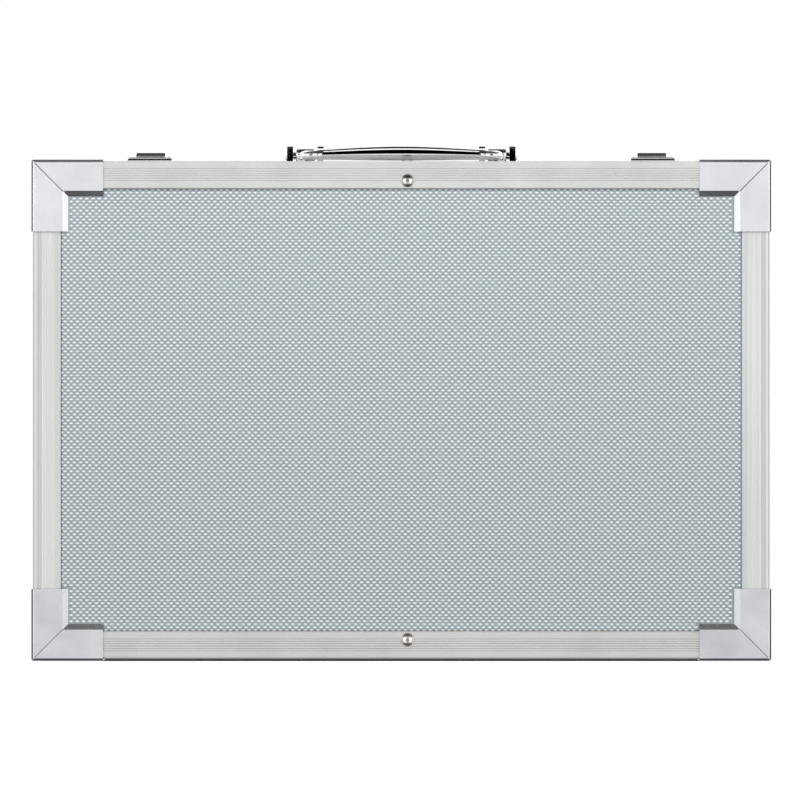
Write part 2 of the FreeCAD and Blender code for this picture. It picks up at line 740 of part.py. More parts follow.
def small_rivets(label, grip, places):
    """A node of small blind rivets that clamp a given thickness."""
    pattern = rivet_pattern(f"{label}_pattern", S.small_rivet_head, S.small_rivet_rise, S.small_rivet_shank,
                            grip, S.rivet_bore)
    group(label, pattern, places)


def face_rivets(label, grip, places):
    """A node of the larger rivets that show on the case's faces."""
    pattern = rivet_pattern(f"{label}_pattern", S.face_rivet_head, S.face_rivet_rise, S.face_rivet_shank,
                            grip, S.rivet_bore)
    group(label, pattern, places)


def make_frame_rivets():
    """Rivets through the lips, the lid's top, the caps and the hinge leaves."""
    low = frame_bottom + S.face_rivet_inset
    high = frame_top - S.face_rivet_inset
    offset = S.face_rivet_offset
    board = S.lip_sheet + S.panel_sheet
    face_rivets("lid_face_rivets", board, [((offset, -frame_face, z), FRONT) for z in (low, high)])
    face_rivets("base_face_rivets", board, [((-offset, frame_face, z), REAR) for z in (low, high)])
    face_rivets("lid_top_rivet", S.wall_sheet, [((offset, -S.top_rivet_depth, frame_top), UP)])
    cap_grip = S.cap_sheet + S.cap_seat + S.wall_sheet
    heights = (S.cap_rivet_along, S.case_height - S.cap_rivet_along)
    for half, depth in (("lid", -S.cap_rivet_depth), ("base", S.cap_rivet_depth)):
        places = []
        for sign in (-1, 1):
            places += [((S.case_width / 2 * sign, depth, z), Vector(sign, 0, 0)) for z in heights]
        small_rivets(f"{half}_cap_rivets", cap_grip, places)
    hinge_grip = leaf_top - frame_bottom
    for half, side in (("lid", -1), ("base", 1)):
        places = [((x, S.hinge_rivet_depth * side, leaf_top), UP) for x in hinge_rivet_rows()]
        small_rivets(f"hinge_{half}_rivets", hinge_grip, places)


def hinge_leaf(label, turn):
    """A leaf of the hinge with every second knuckle, drawn as the base's."""
    body = new_body(label)
    knuckle = S.hinge_length / S.hinge_knuckles
    under = S.hinge_barrel - S.hinge_leaf
    plate = sketch_on(body, "YZ_Plane")
    rectangle(plate, S.hinge_setback, under, S.hinge_leaf_width, S.hinge_barrel)
    pad(body, plate, S.hinge_length, symmetric=True)
    start = S.knuckle_gap / 2 - S.hinge_length / 2
    barrel = sketch_on(body, "YZ_Plane", start)
    circle(barrel, (0, 0), S.hinge_barrel)
    roll = pad(body, barrel, knuckle - S.knuckle_gap)
    tab = sketch_on(body, "YZ_Plane", start)
    rectangle(tab, 0, under, S.hinge_setback, S.hinge_barrel)
    tongue = pad(body, tab, knuckle - S.knuckle_gap)
    repeat(body, [roll, tongue], "X_Axis", 2 * knuckle, S.hinge_knuckles / 2)
    drill(body, "YZ_Plane", [(0, 0)], under)
    drill(body, "XY_Plane", [(x, S.hinge_rivet_depth) for x in hinge_rivet_rows()], small_rivet_hole)
    place(body, 0, 0, S.hinge_height, turn)


def make_hinge():
    """The long hinge: two leaves and their pin."""
    hinge_leaf("hinge_leaf_base", NONE)
    hinge_leaf("hinge_leaf_lid", TO_BASE)
    body = new_body("hinge_pin")
    sketch = sketch_on(body, "YZ_Plane")
    circle(sketch, (0, 0), S.hinge_barrel - S.hinge_leaf - S.pin_play)
    pad(body, sketch, S.hinge_length, symmetric=True)
    place(body, 0, 0, S.hinge_height)


def tray(label, wells, turn):
    """A moulded tray: a plate with hanging wells that stand on the panel."""
    half, low, high = tray_box()
    depth = panel_back - S.tray_face
    wall = S.tray_sheet
    body = new_body(label)
    plate = sketch_on(body, "XZ_Plane", S.tray_face)
    rectangle(plate, -half, low, half, high)
    pad(body, plate, wall)
    cups = sketch_on(body, "XZ_Plane", S.tray_face)
    rooms = sketch_on(body, "XZ_Plane", S.tray_face)
    for left, bottom, right, top in wells:
        rectangle(cups, left - wall, bottom - wall, right + wall, top + wall)
        rectangle(rooms, left, bottom, right, top)
    pad(body, cups, depth)
    cut_deep(body, rooms, depth - wall, along_normal=True)
    place(body, 0, 0, 0, turn)


def tray_box():
    """Half width, lower and upper edge of the trays."""
    half = frame_side - S.rim_width - S.tray_play
    low = leaf_top + S.small_rivet_rise + S.tray_play
    high = frame_top - S.rim_width - S.tray_play
    return half, low, high


def make_trays():
    """The base tray for pencils, brushes, pastels and paints, and the lid tray for a paper pad."""
    half, low, high = tray_box()
    wide = half - S.tray_border
    bottom = low + S.tray_border
    top = high - S.tray_border
    gap = S.tray_gap
    pencil_low = top - S.pencil_well
    brush_top = pencil_low - gap
    brush_low = brush_top - S.brush_well
    paint_top = brush_low - gap
    third = (2 * wide - 2 * gap) / 3
    middle = third / 2
    paint_half = (paint_top - bottom - gap) / 2
    base_wells = [
        (-wide, pencil_low, -gap / 2, top),
        (gap / 2, pencil_low, wide, top),
        (-wide, brush_low, wide, brush_top),
        (-wide, bottom, third - wide, paint_top),
        (-middle, bottom, middle, bottom + paint_half),
        (-middle, paint_top - paint_half, middle, paint_top),
        (wide - third, bottom, wide, paint_top),
    ]
    tray("base_tray", base_wells, TO_BASE)
    pad_right = S.pad_well - wide
    small = (top - bottom - 2 * gap) / 3
    lid_wells = [(-wide, bottom, pad_right, top)]
    for i in range(3):
        foot = bottom + (small + gap) * i
        lid_wells.append((pad_right + gap, foot, wide, foot + small))
    tray("lid_tray", lid_wells, NONE)


def bracket(label, x):
    """A cast handle bracket: a foot with two round-topped ears."""
    body = new_body(label)
    foot = sketch_on(body, "XY_Plane")
    reach = S.bracket_foot / 2
    near = S.pivot_depth - S.bracket_foot_width / 2
    far = S.pivot_depth + S.bracket_foot_width / 2
    corner = S.bracket_foot_round
    outline(foot, [
        (-reach, near, corner),
        (reach, near, corner),
        (reach, far, corner),
        (-reach, far, corner),
    ])
    pad(body, foot, S.bracket_foot_sheet)
    ears = sketch_on(body, "YZ_Plane")
    near = S.pivot_depth - S.bracket_round
    far = S.pivot_depth + S.bracket_round
    top = S.pivot_rise + S.bracket_round
    turn = S.bracket_round * NEARLY_ROUND
    outline(ears, [(near, 0), (far, 0), (far, top, turn), (near, top, turn)])
    pad(body, ears, S.bracket_width, symmetric=True)
    mouth = sketch_on(body, "YZ_Plane")
    rectangle(mouth, near - S.bracket_ear, S.bracket_foot_sheet, far + S.bracket_ear, top + S.bracket_ear)
    cut_deep(body, mouth, S.bracket_width - 2 * S.bracket_ear, symmetric=True)
    drill(body, "YZ_Plane", [(S.pivot_depth, S.pivot_rise)], S.handle_pin + S.pin_play)
    rivets = [(S.bracket_rivet_reach, S.pivot_depth), (-S.bracket_rivet_reach, S.pivot_depth)]
    drill(body, "XY_Plane", rivets, small_rivet_hole)
    place(body, x, 0, frame_top)


def grip_stations():
    """Points along half of the grip, from an eye to the middle, as (across, reach)."""
    bend = S.grip_bend
    arm = S.bracket_centre
    bend_start = S.grip_reach - S.grip_bow - bend
    straight = arm - bend
    stations = [(arm, bend_start * share) for share in GRIP_ARM_SHARES]
    for angle in GRIP_BEND_TURNS:
        side = math.cos(math.radians(angle))
        ahead = math.sin(math.radians(angle))
        stations.append((straight + bend * side, bend_start + bend * ahead))
    for share in GRIP_BAR_SHARES:
        stations.append((straight * share, S.grip_reach - S.grip_bow * share ** 2))
    return stations


def grip_sections():
    """Ovals along the grip, thicker and wider towards its middle."""
    half = grip_stations()
    stations = half + [(-x, reach) for x, reach in reversed(half[:-1])]
    spots = [Vector(x.value, -reach.value, 0) for x, reach in stations]
    last = len(stations) - 1
    ovals = []
    for i, (x, reach) in enumerate(stations):
        along = spots[min(i + 1, last)] - spots[max(i - 1, 0)]
        if i in (0, last):
            along = Vector(0, -1 if i == 0 else 1, 0)
        share = math.sin(math.pi / 2 * min(i, last - i) / (last / 2)) ** 2
        oval = doc.addObject("Part::Ellipse", f"grip_section_{i}")
        bind(oval, "MajorRadius", (S.arm_wide + (S.grip_wide - S.arm_wide) * share) / 2)
        bind(oval, "MinorRadius", (S.arm_thick + (S.grip_thick - S.arm_thick) * share) / 2)
        place(oval, x, -reach, 0, Rotation(UP.cross(along), UP, along, "ZXY"))
        ovals.append(oval)
    return ovals


def handle_grip():
    """The bowed grip with an eye at each end, folded forward over the lid."""
    bar = doc.addObject("Part::Loft", "grip_bar")
    bar.Sections = grip_sections()
    bar.Solid = True
    pieces = [bar]
    for sign in (-1, 1):
        eye = doc.addObject("Part::Cylinder", "grip_eye")
        bind(eye, "Radius", S.eye_radius)
        bind(eye, "Height", S.eye_length)
        place(eye, S.bracket_centre * sign - S.eye_length / 2, 0, 0, QUARTER)
        pieces.append(eye)
    whole = doc.addObject("Part::MultiFuse", "grip_whole")
    whole.Shapes = pieces
    bore = doc.addObject("Part::Cylinder", "grip_bore")
    bind(bore, "Radius", S.handle_pin + S.pin_play)
    bind(bore, "Height", 2 * S.bracket_centre + 2 * S.eye_length)
    place(bore, -(S.bracket_centre + S.eye_length), 0, 0, QUARTER)
    grip = doc.addObject("Part::Cut", "handle_grip")
    grip.Label = "handle_grip"
    grip.Base = whole
    grip.Tool = bore
    drop = S.pivot_rise - S.grip_thick / 2 - S.grip_rest_gap
    tilt = math.degrees(math.asin(drop.value / S.grip_reach.value))
    place(grip, 0, S.pivot_depth, frame_top + S.pivot_rise, Rotation(Vector(1, 0, 0), tilt))
    parts.append(grip)


def make_handle():
    """Brackets, pins and grip of the carrying handle."""
    pin_length = S.bracket_width
    spots = (("left", -1), ("right", 1))
    height = frame_top + S.pivot_rise
    rivets = []
    for side, sign in spots:
        bracket(f"handle_bracket_{side}", S.bracket_centre * sign)
        pattern = rivet_pattern(f"handle_pin_{side}_pattern", S.handle_pin_head, S.handle_pin_rise,
                                S.handle_pin, pin_length, 0)
        outside = (S.bracket_centre + S.bracket_width / 2) * sign
        group(f"handle_pin_{side}", pattern, [((outside, S.pivot_depth, height), Vector(sign, 0, 0))])
        for reach in (S.bracket_rivet_reach, -S.bracket_rivet_reach):
            spot = (S.bracket_centre * sign + reach, S.pivot_depth, frame_top + S.bracket_foot_sheet)
            rivets.append((spot, UP))
    handle_grip()
    small_rivets("bracket_rivets", S.bracket_foot_sheet + S.wall_sheet, rivets)


def latch_plate(label, x):
    """A latch's base plate with two ears for the lever pin."""
    body = new_body(label)
    half = S.latch_plate_width / 2
    foot = sketch_on(body, "XY_Plane")
    corner = S.lever_nose
    near = S.latch_plate_near
    far = S.latch_plate_far
    outline(foot, [(-half, near, corner), (half, near, corner), (half, far, corner), (-half, far, corner)])
    pad(body, foot, S.latch_sheet)
    ears = sketch_on(body, "YZ_Plane")
    near = S.lever_pin_depth - S.latch_ear_round
    far = S.lever_pin_depth + S.latch_ear_round
    top = S.lever_pin_rise + S.latch_ear_round
    turn = S.latch_ear_round * NEARLY_ROUND
    outline(ears, [(near, 0), (far, 0), (far, top, turn), (near, top, turn)])
    pad(body, ears, S.latch_ear_span, symmetric=True)
    mouth = sketch_on(body, "YZ_Plane")
    rectangle(mouth, near - S.latch_sheet, S.latch_sheet, far + S.latch_sheet, top + S.latch_sheet)
    cut_deep(body, mouth, S.latch_ear_span - 2 * S.latch_ear_sheet, symmetric=True)
    drill(body, "YZ_Plane", [(S.lever_pin_depth, S.lever_pin_rise)], S.lever_pin + S.pin_play)
    rivets = [(S.latch_rivet_spread, S.latch_rivet_depth), (-S.latch_rivet_spread, S.latch_rivet_depth)]
    drill(body, "XY_Plane", rivets, small_rivet_hole)
    place(body, x, 0, frame_top)


def latch_lever(label, x):
    """A latch's lever: a channel over the ears, with a turned-up tip."""
    body = new_body(label)
    axle = S.lever_pin_depth
    low = S.lever_pin_rise - S.lever_nose
    top = S.lever_pin_rise + S.lever_top
    under = top - S.latch_sheet
    front = axle - S.lever_nose
    nose = S.lever_nose * NEARLY_ROUND
    walls = sketch_on(body, "YZ_Plane")
    wall_end = axle + S.lever_wall_length
    outline(walls, [
        (front, low, nose),
        (bail_pin_depth + S.bail_eye, low),
        (wall_end, under),
        (wall_end, top),
        (front, top, nose),
    ])
    pad(body, walls, 2 * lever_half, symmetric=True)
    inside = sketch_on(body, "YZ_Plane")
    start = axle + S.lever_top_start
    before = front - S.latch_sheet
    below = low - S.latch_sheet
    above = top + S.latch_sheet
    beyond = axle + S.lever_tip
    outline(inside, [(before, below), (beyond, below), (beyond, under), (start, under), (start, above),
                     (before, above)])
    cut_deep(body, inside, 2 * (lever_half - S.latch_sheet), symmetric=True)
    plate = sketch_on(body, "YZ_Plane")
    lift = S.lever_tip_lift
    outline(plate, [(start, under), (axle + S.lever_flat, under), (beyond, under + lift),
                    (beyond, top + lift), (axle + S.lever_flat, top), (start, top)])
    pad(body, plate, 2 * lever_half, symmetric=True)
    drill(body, "YZ_Plane", [(axle, S.lever_pin_rise)], S.lever_pin + S.pin_play)
    drill(body, "YZ_Plane", [(bail_pin_depth, bail_pin_rise)], S.bail_pin + S.pin_play)
    place(body, x, 0, frame_top)


def latch_bail(label, x):
    """A latch's bail: two arms, a hood over the strike and a lip that hooks into it."""
    body = new_body(label)
    front = -S.bail_reach
    hood_end = S.bail_hood - S.bail_reach
    low = S.strike_rise + S.strike_play
    eye = S.bail_eye
    eye_low = bail_pin_rise - eye
    eye_top = bail_pin_rise + eye
    eye_far = bail_pin_depth + eye
    turn = eye * NEARLY_ROUND
    arms = sketch_on(body, "YZ_Plane")
    outline(arms, [
        (front, low),
        (S.latch_plate_near, low),
        (S.lever_pin_depth, eye_low),
        (eye_far, eye_low, turn),
        (eye_far, eye_top, turn),
        (S.latch_plate_near, eye_top),
        (hood_end, S.bail_top),
        (front + S.bail_nose, S.bail_top),
        (front, S.bail_top - S.bail_nose),
    ])
    pad(body, arms, 2 * bail_half, symmetric=True)
    inside = sketch_on(body, "YZ_Plane")
    hood_under = S.bail_top - S.bail_sheet
    above = S.bail_top + S.bail_sheet
    back = front + S.bail_sheet
    below = eye_low - S.bail_sheet
    beyond = eye_far + S.bail_sheet
    outline(inside, [
        (back, below),
        (beyond, below),
        (beyond, above),
        (hood_end, above),
        (hood_end, hood_under),
        (back + S.bail_nose, hood_under),
        (back, hood_under - S.bail_nose),
    ])
    cut_deep(body, inside, 2 * bail_inner, symmetric=True)
    lip = sketch_on(body, "YZ_Plane")
    rectangle(lip, front, S.bail_lip_clear, back, S.bail_top - S.bail_nose)
    pad(body, lip, S.bail_lip_width, symmetric=True)
    drill(body, "YZ_Plane", [(bail_pin_depth, bail_pin_rise)], S.bail_pin + S.pin_play)
    round_edges(body, S.bail_round, is_hood_edge)
    place(body, x, 0, frame_top)


def is_hood_edge(edge):
    """True for the two long upper side edges of a bail's hood."""
    box = edge.BoundBox
    level = abs(box.ZMin - S.bail_top.value) < SAME_PLACE and abs(box.ZMax - S.bail_top.value) < SAME_PLACE
    outer = abs(abs(box.Center.x) - bail_half.value) < SAME_PLACE
    return level and outer


def is_dome_edge(edge):
    """True for the upper edges of a strike's dome."""
    box = edge.BoundBox
    return abs(box.ZMin - S.strike_rise.value) < SAME_PLACE and abs(box.ZMax - S.strike_rise.value) < SAME_PLACE


def latch_strike(label, x):
    """A latch's strike on the lid: a pressed dome with a slot, and a riveted tail."""
    body = new_body(label)
    half = S.strike_width / 2
    sheet = S.latch_sheet
    front = -S.strike_front
    back = -S.strike_back
    dome = sketch_on(body, "XY_Plane")
    rectangle(dome, -half, front, half, back)
    pad(body, dome, S.strike_rise)
    round_edges(body, S.strike_round, is_dome_edge)
    hollow = sketch_on(body, "XY_Plane")
    rectangle(hollow, sheet - half, front + sheet, half - sheet, back - sheet)
    cut_deep(body, hollow, S.strike_rise - S.strike_round, along_normal=True)
    crown = sketch_on(body, "XY_Plane")
    inset = S.strike_round
    rectangle(crown, inset - half, front + inset, half - inset, back - inset)
    cut_deep(body, crown, S.strike_rise - sheet, along_normal=True)
    tail = sketch_on(body, "XY_Plane")
    tail_half = S.strike_rivet_spread + S.small_rivet_head + sheet
    rectangle(tail, -tail_half, back - sheet, tail_half, -S.strike_tail)
    pad(body, tail, sheet)
    slot = sketch_on(body, "XY_Plane")
    slot_half = S.bail_lip_width / 2 + S.strike_play
    slot_back = S.bail_sheet + S.strike_play - S.bail_reach
    rectangle(slot, -slot_half, -S.bail_reach - S.strike_play, slot_half, slot_back)
    cut_through(body, slot)
    rivets = [(S.strike_rivet_spread * sign, -S.strike_rivet_depth) for sign in (-1, 1)]
    drill(body, "XY_Plane", rivets, small_rivet_hole)
    place(body, x, 0, frame_top)


def lever_pins(side, x):
    """A latch's lever pin, and the two stubs on its lever that carry the bail."""
    body = new_body(f"latch_{side}_lever_pin")
    sketch = sketch_on(body, "YZ_Plane")
    circle(sketch, (S.lever_pin_depth, S.lever_pin_rise), S.lever_pin)
    pad(body, sketch, 2 * lever_half, symmetric=True)
    place(body, x, 0, frame_top)
    stub = doc.addObject("PartDesign::Body", f"latch_{side}_stub_pattern")
    sketch = sketch_on(stub, "XY_Plane")
    circle(sketch, (0, 0), S.bail_pin)
    pad(stub, sketch, bail_half - lever_half + S.latch_sheet)
    places = []
    for sign in (-1, 1):
        spot = (x + (lever_half - S.latch_sheet) * sign, bail_pin_depth, frame_top + bail_pin_rise)
        places.append((spot, Vector(sign, 0, 0)))
    group(f"latch_{side}_bail_pins", stub, places)


def make_latches():
    """Two draw latches: plate, lever, bail and pins on the base, strike on the lid."""
    plate_rivets = []
    strike_rivets = []
    for side, sign in (("left", -1), ("right", 1)):
        x = S.latch_centre * sign
        latch_plate(f"latch_{side}_plate", x)
        latch_lever(f"latch_{side}_lever", x)
        latch_bail(f"latch_{side}_bail", x)
        latch_strike(f"latch_{side}_strike", x)
        lever_pins(side, x)
        height = frame_top + S.latch_sheet
        for across in (-1, 1):
            plate_rivets.append(((x + S.latch_rivet_spread * across, S.latch_rivet_depth, height), UP))
            strike_rivets.append(((x + S.strike_rivet_spread * across, -S.strike_rivet_depth, height), UP))
    grip = S.latch_sheet + S.wall_sheet
    small_rivets("latch_plate_rivets", grip, plate_rivets)
    small_rivets("latch_strike_rivets", grip, strike_rivets)


def check_and_export():
    """Stops on a failed object or shape, then writes one file for each sub-part."""
    doc.recompute()
    for item in doc.Objects:
        if "Invalid" in item.State or "Error" in item.State:
            raise RuntimeError(f"{item.Label} failed: {item.State}")
    for item in parts:
        if item.Shape.isNull() or not item.Shape.isValid():
            raise RuntimeError(f"{item.Label} has no valid shape")
    os.makedirs("parts", exist_ok=True)
    for item in parts:
        item.Shape.exportStep(f"parts/{item.Label}.step")


make_rails()
make_panels()
make_caps()
make_frame_rivets()
make_hinge()
make_trays()
make_handle()
make_latches()
check_and_export()
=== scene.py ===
import logging
from dataclasses import dataclass, field
from enum import Enum
from typing import Any

import bpy
import numpy as np
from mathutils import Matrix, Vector


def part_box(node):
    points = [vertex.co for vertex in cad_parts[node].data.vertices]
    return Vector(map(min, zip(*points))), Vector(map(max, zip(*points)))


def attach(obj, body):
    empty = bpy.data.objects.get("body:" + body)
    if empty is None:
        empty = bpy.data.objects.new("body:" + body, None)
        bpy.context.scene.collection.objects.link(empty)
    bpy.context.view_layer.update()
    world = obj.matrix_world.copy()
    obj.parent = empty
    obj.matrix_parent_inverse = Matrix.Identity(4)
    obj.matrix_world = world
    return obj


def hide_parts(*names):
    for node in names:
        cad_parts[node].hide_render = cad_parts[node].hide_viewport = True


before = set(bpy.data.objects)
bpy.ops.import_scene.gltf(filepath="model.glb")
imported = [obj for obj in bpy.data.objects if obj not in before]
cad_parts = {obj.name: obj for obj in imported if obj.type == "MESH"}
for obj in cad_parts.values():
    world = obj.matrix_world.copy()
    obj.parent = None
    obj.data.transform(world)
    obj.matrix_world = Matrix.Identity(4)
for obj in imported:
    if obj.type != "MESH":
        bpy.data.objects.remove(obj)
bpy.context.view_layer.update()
log = logging.getLogger("art_case")

Colour = tuple[float, float, float]
Triple = tuple[float, float, float]
Pair = tuple[float, float]
Stops = tuple[Pair, ...]
Surface = tuple[np.ndarray, np.ndarray]
Socket = bpy.types.NodeSocket

FULL_TURN = 2.0 * np.pi
QUARTER_TURN = np.pi / 2
BLACK = (0.0, 0.0, 0.0, 1.0)
WHITE = (1.0, 1.0, 1.0, 1.0)
ONE_FACE = np.array([[0, 1, 2, 3]])
NOISE_MIDDLE = 0.5
NOISE_REACH = 0.2


class Half(Enum):
    """The two halves of the case, each with the way its big face looks along y."""

    LID = -1
    BASE = 1

    @property
    def body(self) -> str:
        """Name of the body, which also starts the names of its nodes."""
        return self.name.lower()


class Run(Enum):
    """Way that a drawn or polished grain runs: cells per metre along x, y and z."""

    WIDTH = (60.0, 5200.0, 5200.0)
    HEIGHT = (1300.0, 1300.0, 5.0)
    EVEN = (2600.0, 2600.0, 2600.0)


class Nodes:
    """A node tree and short ways to add to it."""

    def __init__(self, tree: bpy.types.NodeTree) -> None:
        """Work on a tree."""
        self.tree = tree

    def add(self, kind: str, inputs: dict[Any, Any], operation: str = "") -> bpy.types.Node:
        """Add a node.

        Args:
            kind: Type name of the node.
            inputs: Constants or outputs for its sockets, by socket name or number.
            operation: What the node works out, for a node with a choice.

        Returns:
            The new node.
        """
        node = self.tree.nodes.new(kind)
        if operation:
            node.operation = operation
        for label, value in inputs.items():
            if isinstance(value, Socket):
                self.tree.links.new(value, node.inputs[label])
            else:
                node.inputs[label].default_value = value
        return node

    def math(self, operation: str, *values: Any) -> Socket:
        """Result of a number operation on constants or outputs."""
        return self.add("ShaderNodeMath", dict(enumerate(values)), operation).outputs[0]

    def coordinates(self, kind: str = "Object") -> Socket:
        """Coordinates of the point being shaded."""
        return self.tree.nodes.new("ShaderNodeTexCoord").outputs[kind]

    def axes(self, kind: str = "Object") -> bpy.types.NodeOutputs:
        """The same coordinates as separate outputs named X, Y and Z."""
        return self.add("ShaderNodeSeparateXYZ", {"Vector": self.coordinates(kind)}).outputs

    def ranged(self, value: Socket, start: Pair, end: Pair) -> Socket:
        """Carry a value from one range to another and hold it at the ends.

        Args:
            value: The value.
            start: Its range.
            end: The new range.

        Returns:
            The carried value.
        """
        limits = {"From Min": start[0], "From Max": start[1], "To Min": end[0], "To Max": end[1]}
        return self.add("ShaderNodeMapRange", {"Value": value, **limits}).outputs["Result"]

    def grey_ramp(self, value: Socket, stops: Stops) -> Socket:
        """Grey that runs through stops.

        Args:
            value: Place on the ramp, 0 to 1.
            stops: Places and greys, the first at 0 and the last at 1.

        Returns:
            The grey.
        """
        ramp = self.add("ShaderNodeValToRGB", {"Fac": value})
        marks = ramp.color_ramp.elements
        for mark, (_, tone) in zip((marks[0], marks[1]), (stops[0], stops[-1])):
            mark.color = (tone, tone, tone, 1.0)
        for spot, tone in stops[1:-1]:
            marks.new(spot).color = (tone, tone, tone, 1.0)
        return ramp.outputs["Color"]


class Shader(Nodes):
    """One material with its principled surface."""

    def __init__(self, name: str) -> None:
        """Start a material.

        Args:
            name: Name of the material.
        """
        self.material = bpy.data.materials.new(name)
        self.material.use_nodes = True
        super().__init__(self.material.node_tree)
        self.surface = self.tree.nodes["Principled BSDF"]

    def set(self, socket: str, value: Any) -> None:
        """Set one of the surface's own sockets to a constant."""
        self.surface.inputs[socket].default_value = value

    def feed(self, socket: str, output: Socket) -> None:
        """Link an output to one of the surface's sockets."""
        self.tree.links.new(output, self.surface.inputs[socket])

    def noise(self, cells: Triple, detail: float = 3.0) -> Socket:
        """Noise on object coordinates.

        Args:
            cells: Cells per metre along x, y and z.
            detail: Octaves of the noise.

        Returns:
            The noise value, about 0 to 1.
        """
        stretch = self.add("ShaderNodeMapping", {"Vector": self.coordinates(), "Scale": cells})
        noise = self.add("ShaderNodeTexNoise",
                         {"Vector": stretch.outputs["Vector"], "Scale": 1.0, "Detail": detail})
        return noise.outputs["Fac"]

    def spread(self, value: Socket, low: float, high: float,
               middle: float = NOISE_MIDDLE) -> Socket:
        """Spread the middle of a noise value over a range.

        Args:
            value: The noise.
            low: Result where the noise is low.
            high: Result where the noise is high.
            middle: Usual value of the noise.

        Returns:
            The ranged value.
        """
        return self.ranged(value, (middle - NOISE_REACH, middle + NOISE_REACH), (low, high))

    def shade(self, value: Socket, dark: Colour, light: Colour) -> Socket:
        """Colour between two tones by a value of 0 to 1.

        Args:
            value: The value.
            dark: Colour at 0.
            light: Colour at 1.

        Returns:
            The colour.
        """
        ramp = self.add("ShaderNodeValToRGB", {"Fac": value})
        ramp.color_ramp.elements[0].color = (*dark, 1.0)
        ramp.color_ramp.elements[1].color = (*light, 1.0)
        return ramp.outputs["Color"]

    def scaled(self, colour: Socket, share: Socket) -> Socket:
        """A colour times the share of it that is left."""
        inputs = {"Vector": colour, "Scale": share}
        return self.add("ShaderNodeVectorMath", inputs, "SCALE").outputs["Vector"]

    def bump(self, height: Socket, depth: float) -> None:
        """Feed the surface's normal from a height of 0 to 1 that stands for a depth in metres."""
        inputs = {"Height": height, "Strength": 1.0, "Distance": depth}
        self.feed("Normal", self.add("ShaderNodeBump", inputs).outputs["Normal"])


@dataclass(frozen=True)
class PaintedEdgeReflection:
    """Painted reflection: a dark line along the corner caps' upright outer edges, where a dark
    reflection would fall.
    """

    line: float = 0.00080
    turn: float = 0.0011
    fade: float = 0.0002
    left: float = 0.06

    def tone(self, shader: Shader) -> Socket:
        """Share of the colour that is left: low where x and y are both near the outer faces.

        Args:
            shader: The material under way.

        Returns:
            The share.
        """
        low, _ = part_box("lid_cap_top_left")
        axes = shader.axes()
        near = []
        for axis, reach, depth in (("X", -low.x, self.line), ("Y", -low.y, self.turn)):
            start = reach - depth
            size = shader.math("ABSOLUTE", axes[axis])
            near.append(shader.ranged(size, (start - self.fade, start), (0.0, 1.0)))
        return shader.ranged(shader.math("MULTIPLY", *near), (0.0, 1.0), (1.0, self.left))


@dataclass(frozen=True)
class PaintedBandShading:
    """Painted shade and painted highlights in bands across the side rails' faces: the flat bands
    darker as if turned from the light, bright lines where their edges would catch it.
    """

    width: float = 0.0151
    # Distance in from the outer face and share of colour: the low shares are painted shade, the
    # high ones painted highlights.
    stops: Stops = ((0.0, 0.77), (0.035, 0.69), (0.065, 0.70), (0.085, 1.0), (0.115, 0.83),
                    (0.155, 0.675), (0.305, 0.675), (0.335, 0.90), (0.375, 0.82), (0.77, 0.82),
                    (0.81, 0.745), (0.94, 0.745), (0.975, 0.92), (1.0, 0.92))

    def tone(self, shader: Shader) -> Socket:
        """Share of the colour at each distance from the rails' outer faces.

        Args:
            shader: The material under way.

        Returns:
            The share.
        """
        outside = -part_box("lid_rail_left")[0].x
        size = shader.math("ABSOLUTE", shader.axes()["X"])
        inset = shader.ranged(size, (outside - self.width, outside), (1.0, 0.0))
        return shader.grey_ramp(inset, self.stops)


@dataclass(frozen=True)
class MetalFinish:
    """A metal skin: slow mottling of its tone, a fine grain and an uneven gloss."""

    name: str
    dark: Colour
    light: Colour
    gloss_low: float
    gloss_high: float
    run: Run
    grain_depth: float
    metal: float = 1.0
    grain_tone: float = 0.35
    mottle: Triple = (35.0, 35.0, 35.0)
    # Painted light over the tone: a painted edge reflection or painted band shade and highlights.
    pattern: PaintedEdgeReflection | PaintedBandShading | None = None
    mottle_detail: float = 4.0
    grain_detail: float = 2.0

    def material(self) -> bpy.types.Material:
        """Build the material.

        Returns:
            The finished material.
        """
        shader = Shader(self.name)
        shader.set("Metallic", self.metal)
        mottle = shader.noise(self.mottle, self.mottle_detail)
        grain = shader.noise(self.run.value, self.grain_detail)
        tone = shader.math("MULTIPLY_ADD", grain, self.grain_tone, mottle)
        usual = NOISE_MIDDLE + NOISE_MIDDLE * self.grain_tone
        colour = shader.shade(shader.spread(tone, 0.0, 1.0, usual), self.dark, self.light)
        # Multiply in the painted light, where the finish has any.
        if self.pattern:
            colour = shader.scaled(colour, self.pattern.tone(shader))
        shader.feed("Base Color", colour)
        shader.feed("Roughness", shader.spread(mottle, self.gloss_low, self.gloss_high))
        shader.bump(grain, self.grain_depth)
        return shader.material


@dataclass(frozen=True)
class PlasticFinish:
    """A moulded plastic skin: spark-eroded grain, faint scuffs and an uneven sheen."""

    name: str
    dark: Colour
    light: Colour
    gloss_low: float
    gloss_high: float
    grain_cells: float
    grain_depth: float
    specular: float = 0.4
    scuff_cells: Triple = (40.0, 40.0, 15.0)
    scuff_detail: float = 5.0
    grain_detail: float = 2.0

    def material(self) -> bpy.types.Material:
        """Build the material.

        Returns:
            The finished material.
        """
        shader = Shader(self.name)
        shader.set("Metallic", 0.0)
        shader.set("Specular IOR Level", self.specular)
        grain = shader.noise((self.grain_cells,) * 3, self.grain_detail)
        scuffs = shader.noise(self.scuff_cells, self.scuff_detail)
        tone = shader.spread(scuffs, 0.0, 1.0)
        shader.feed("Base Color", shader.shade(tone, self.dark, self.light))
        shader.feed("Roughness", shader.spread(scuffs, self.gloss_high, self.gloss_low))
        shader.bump(grain, self.grain_depth)
        return shader.material


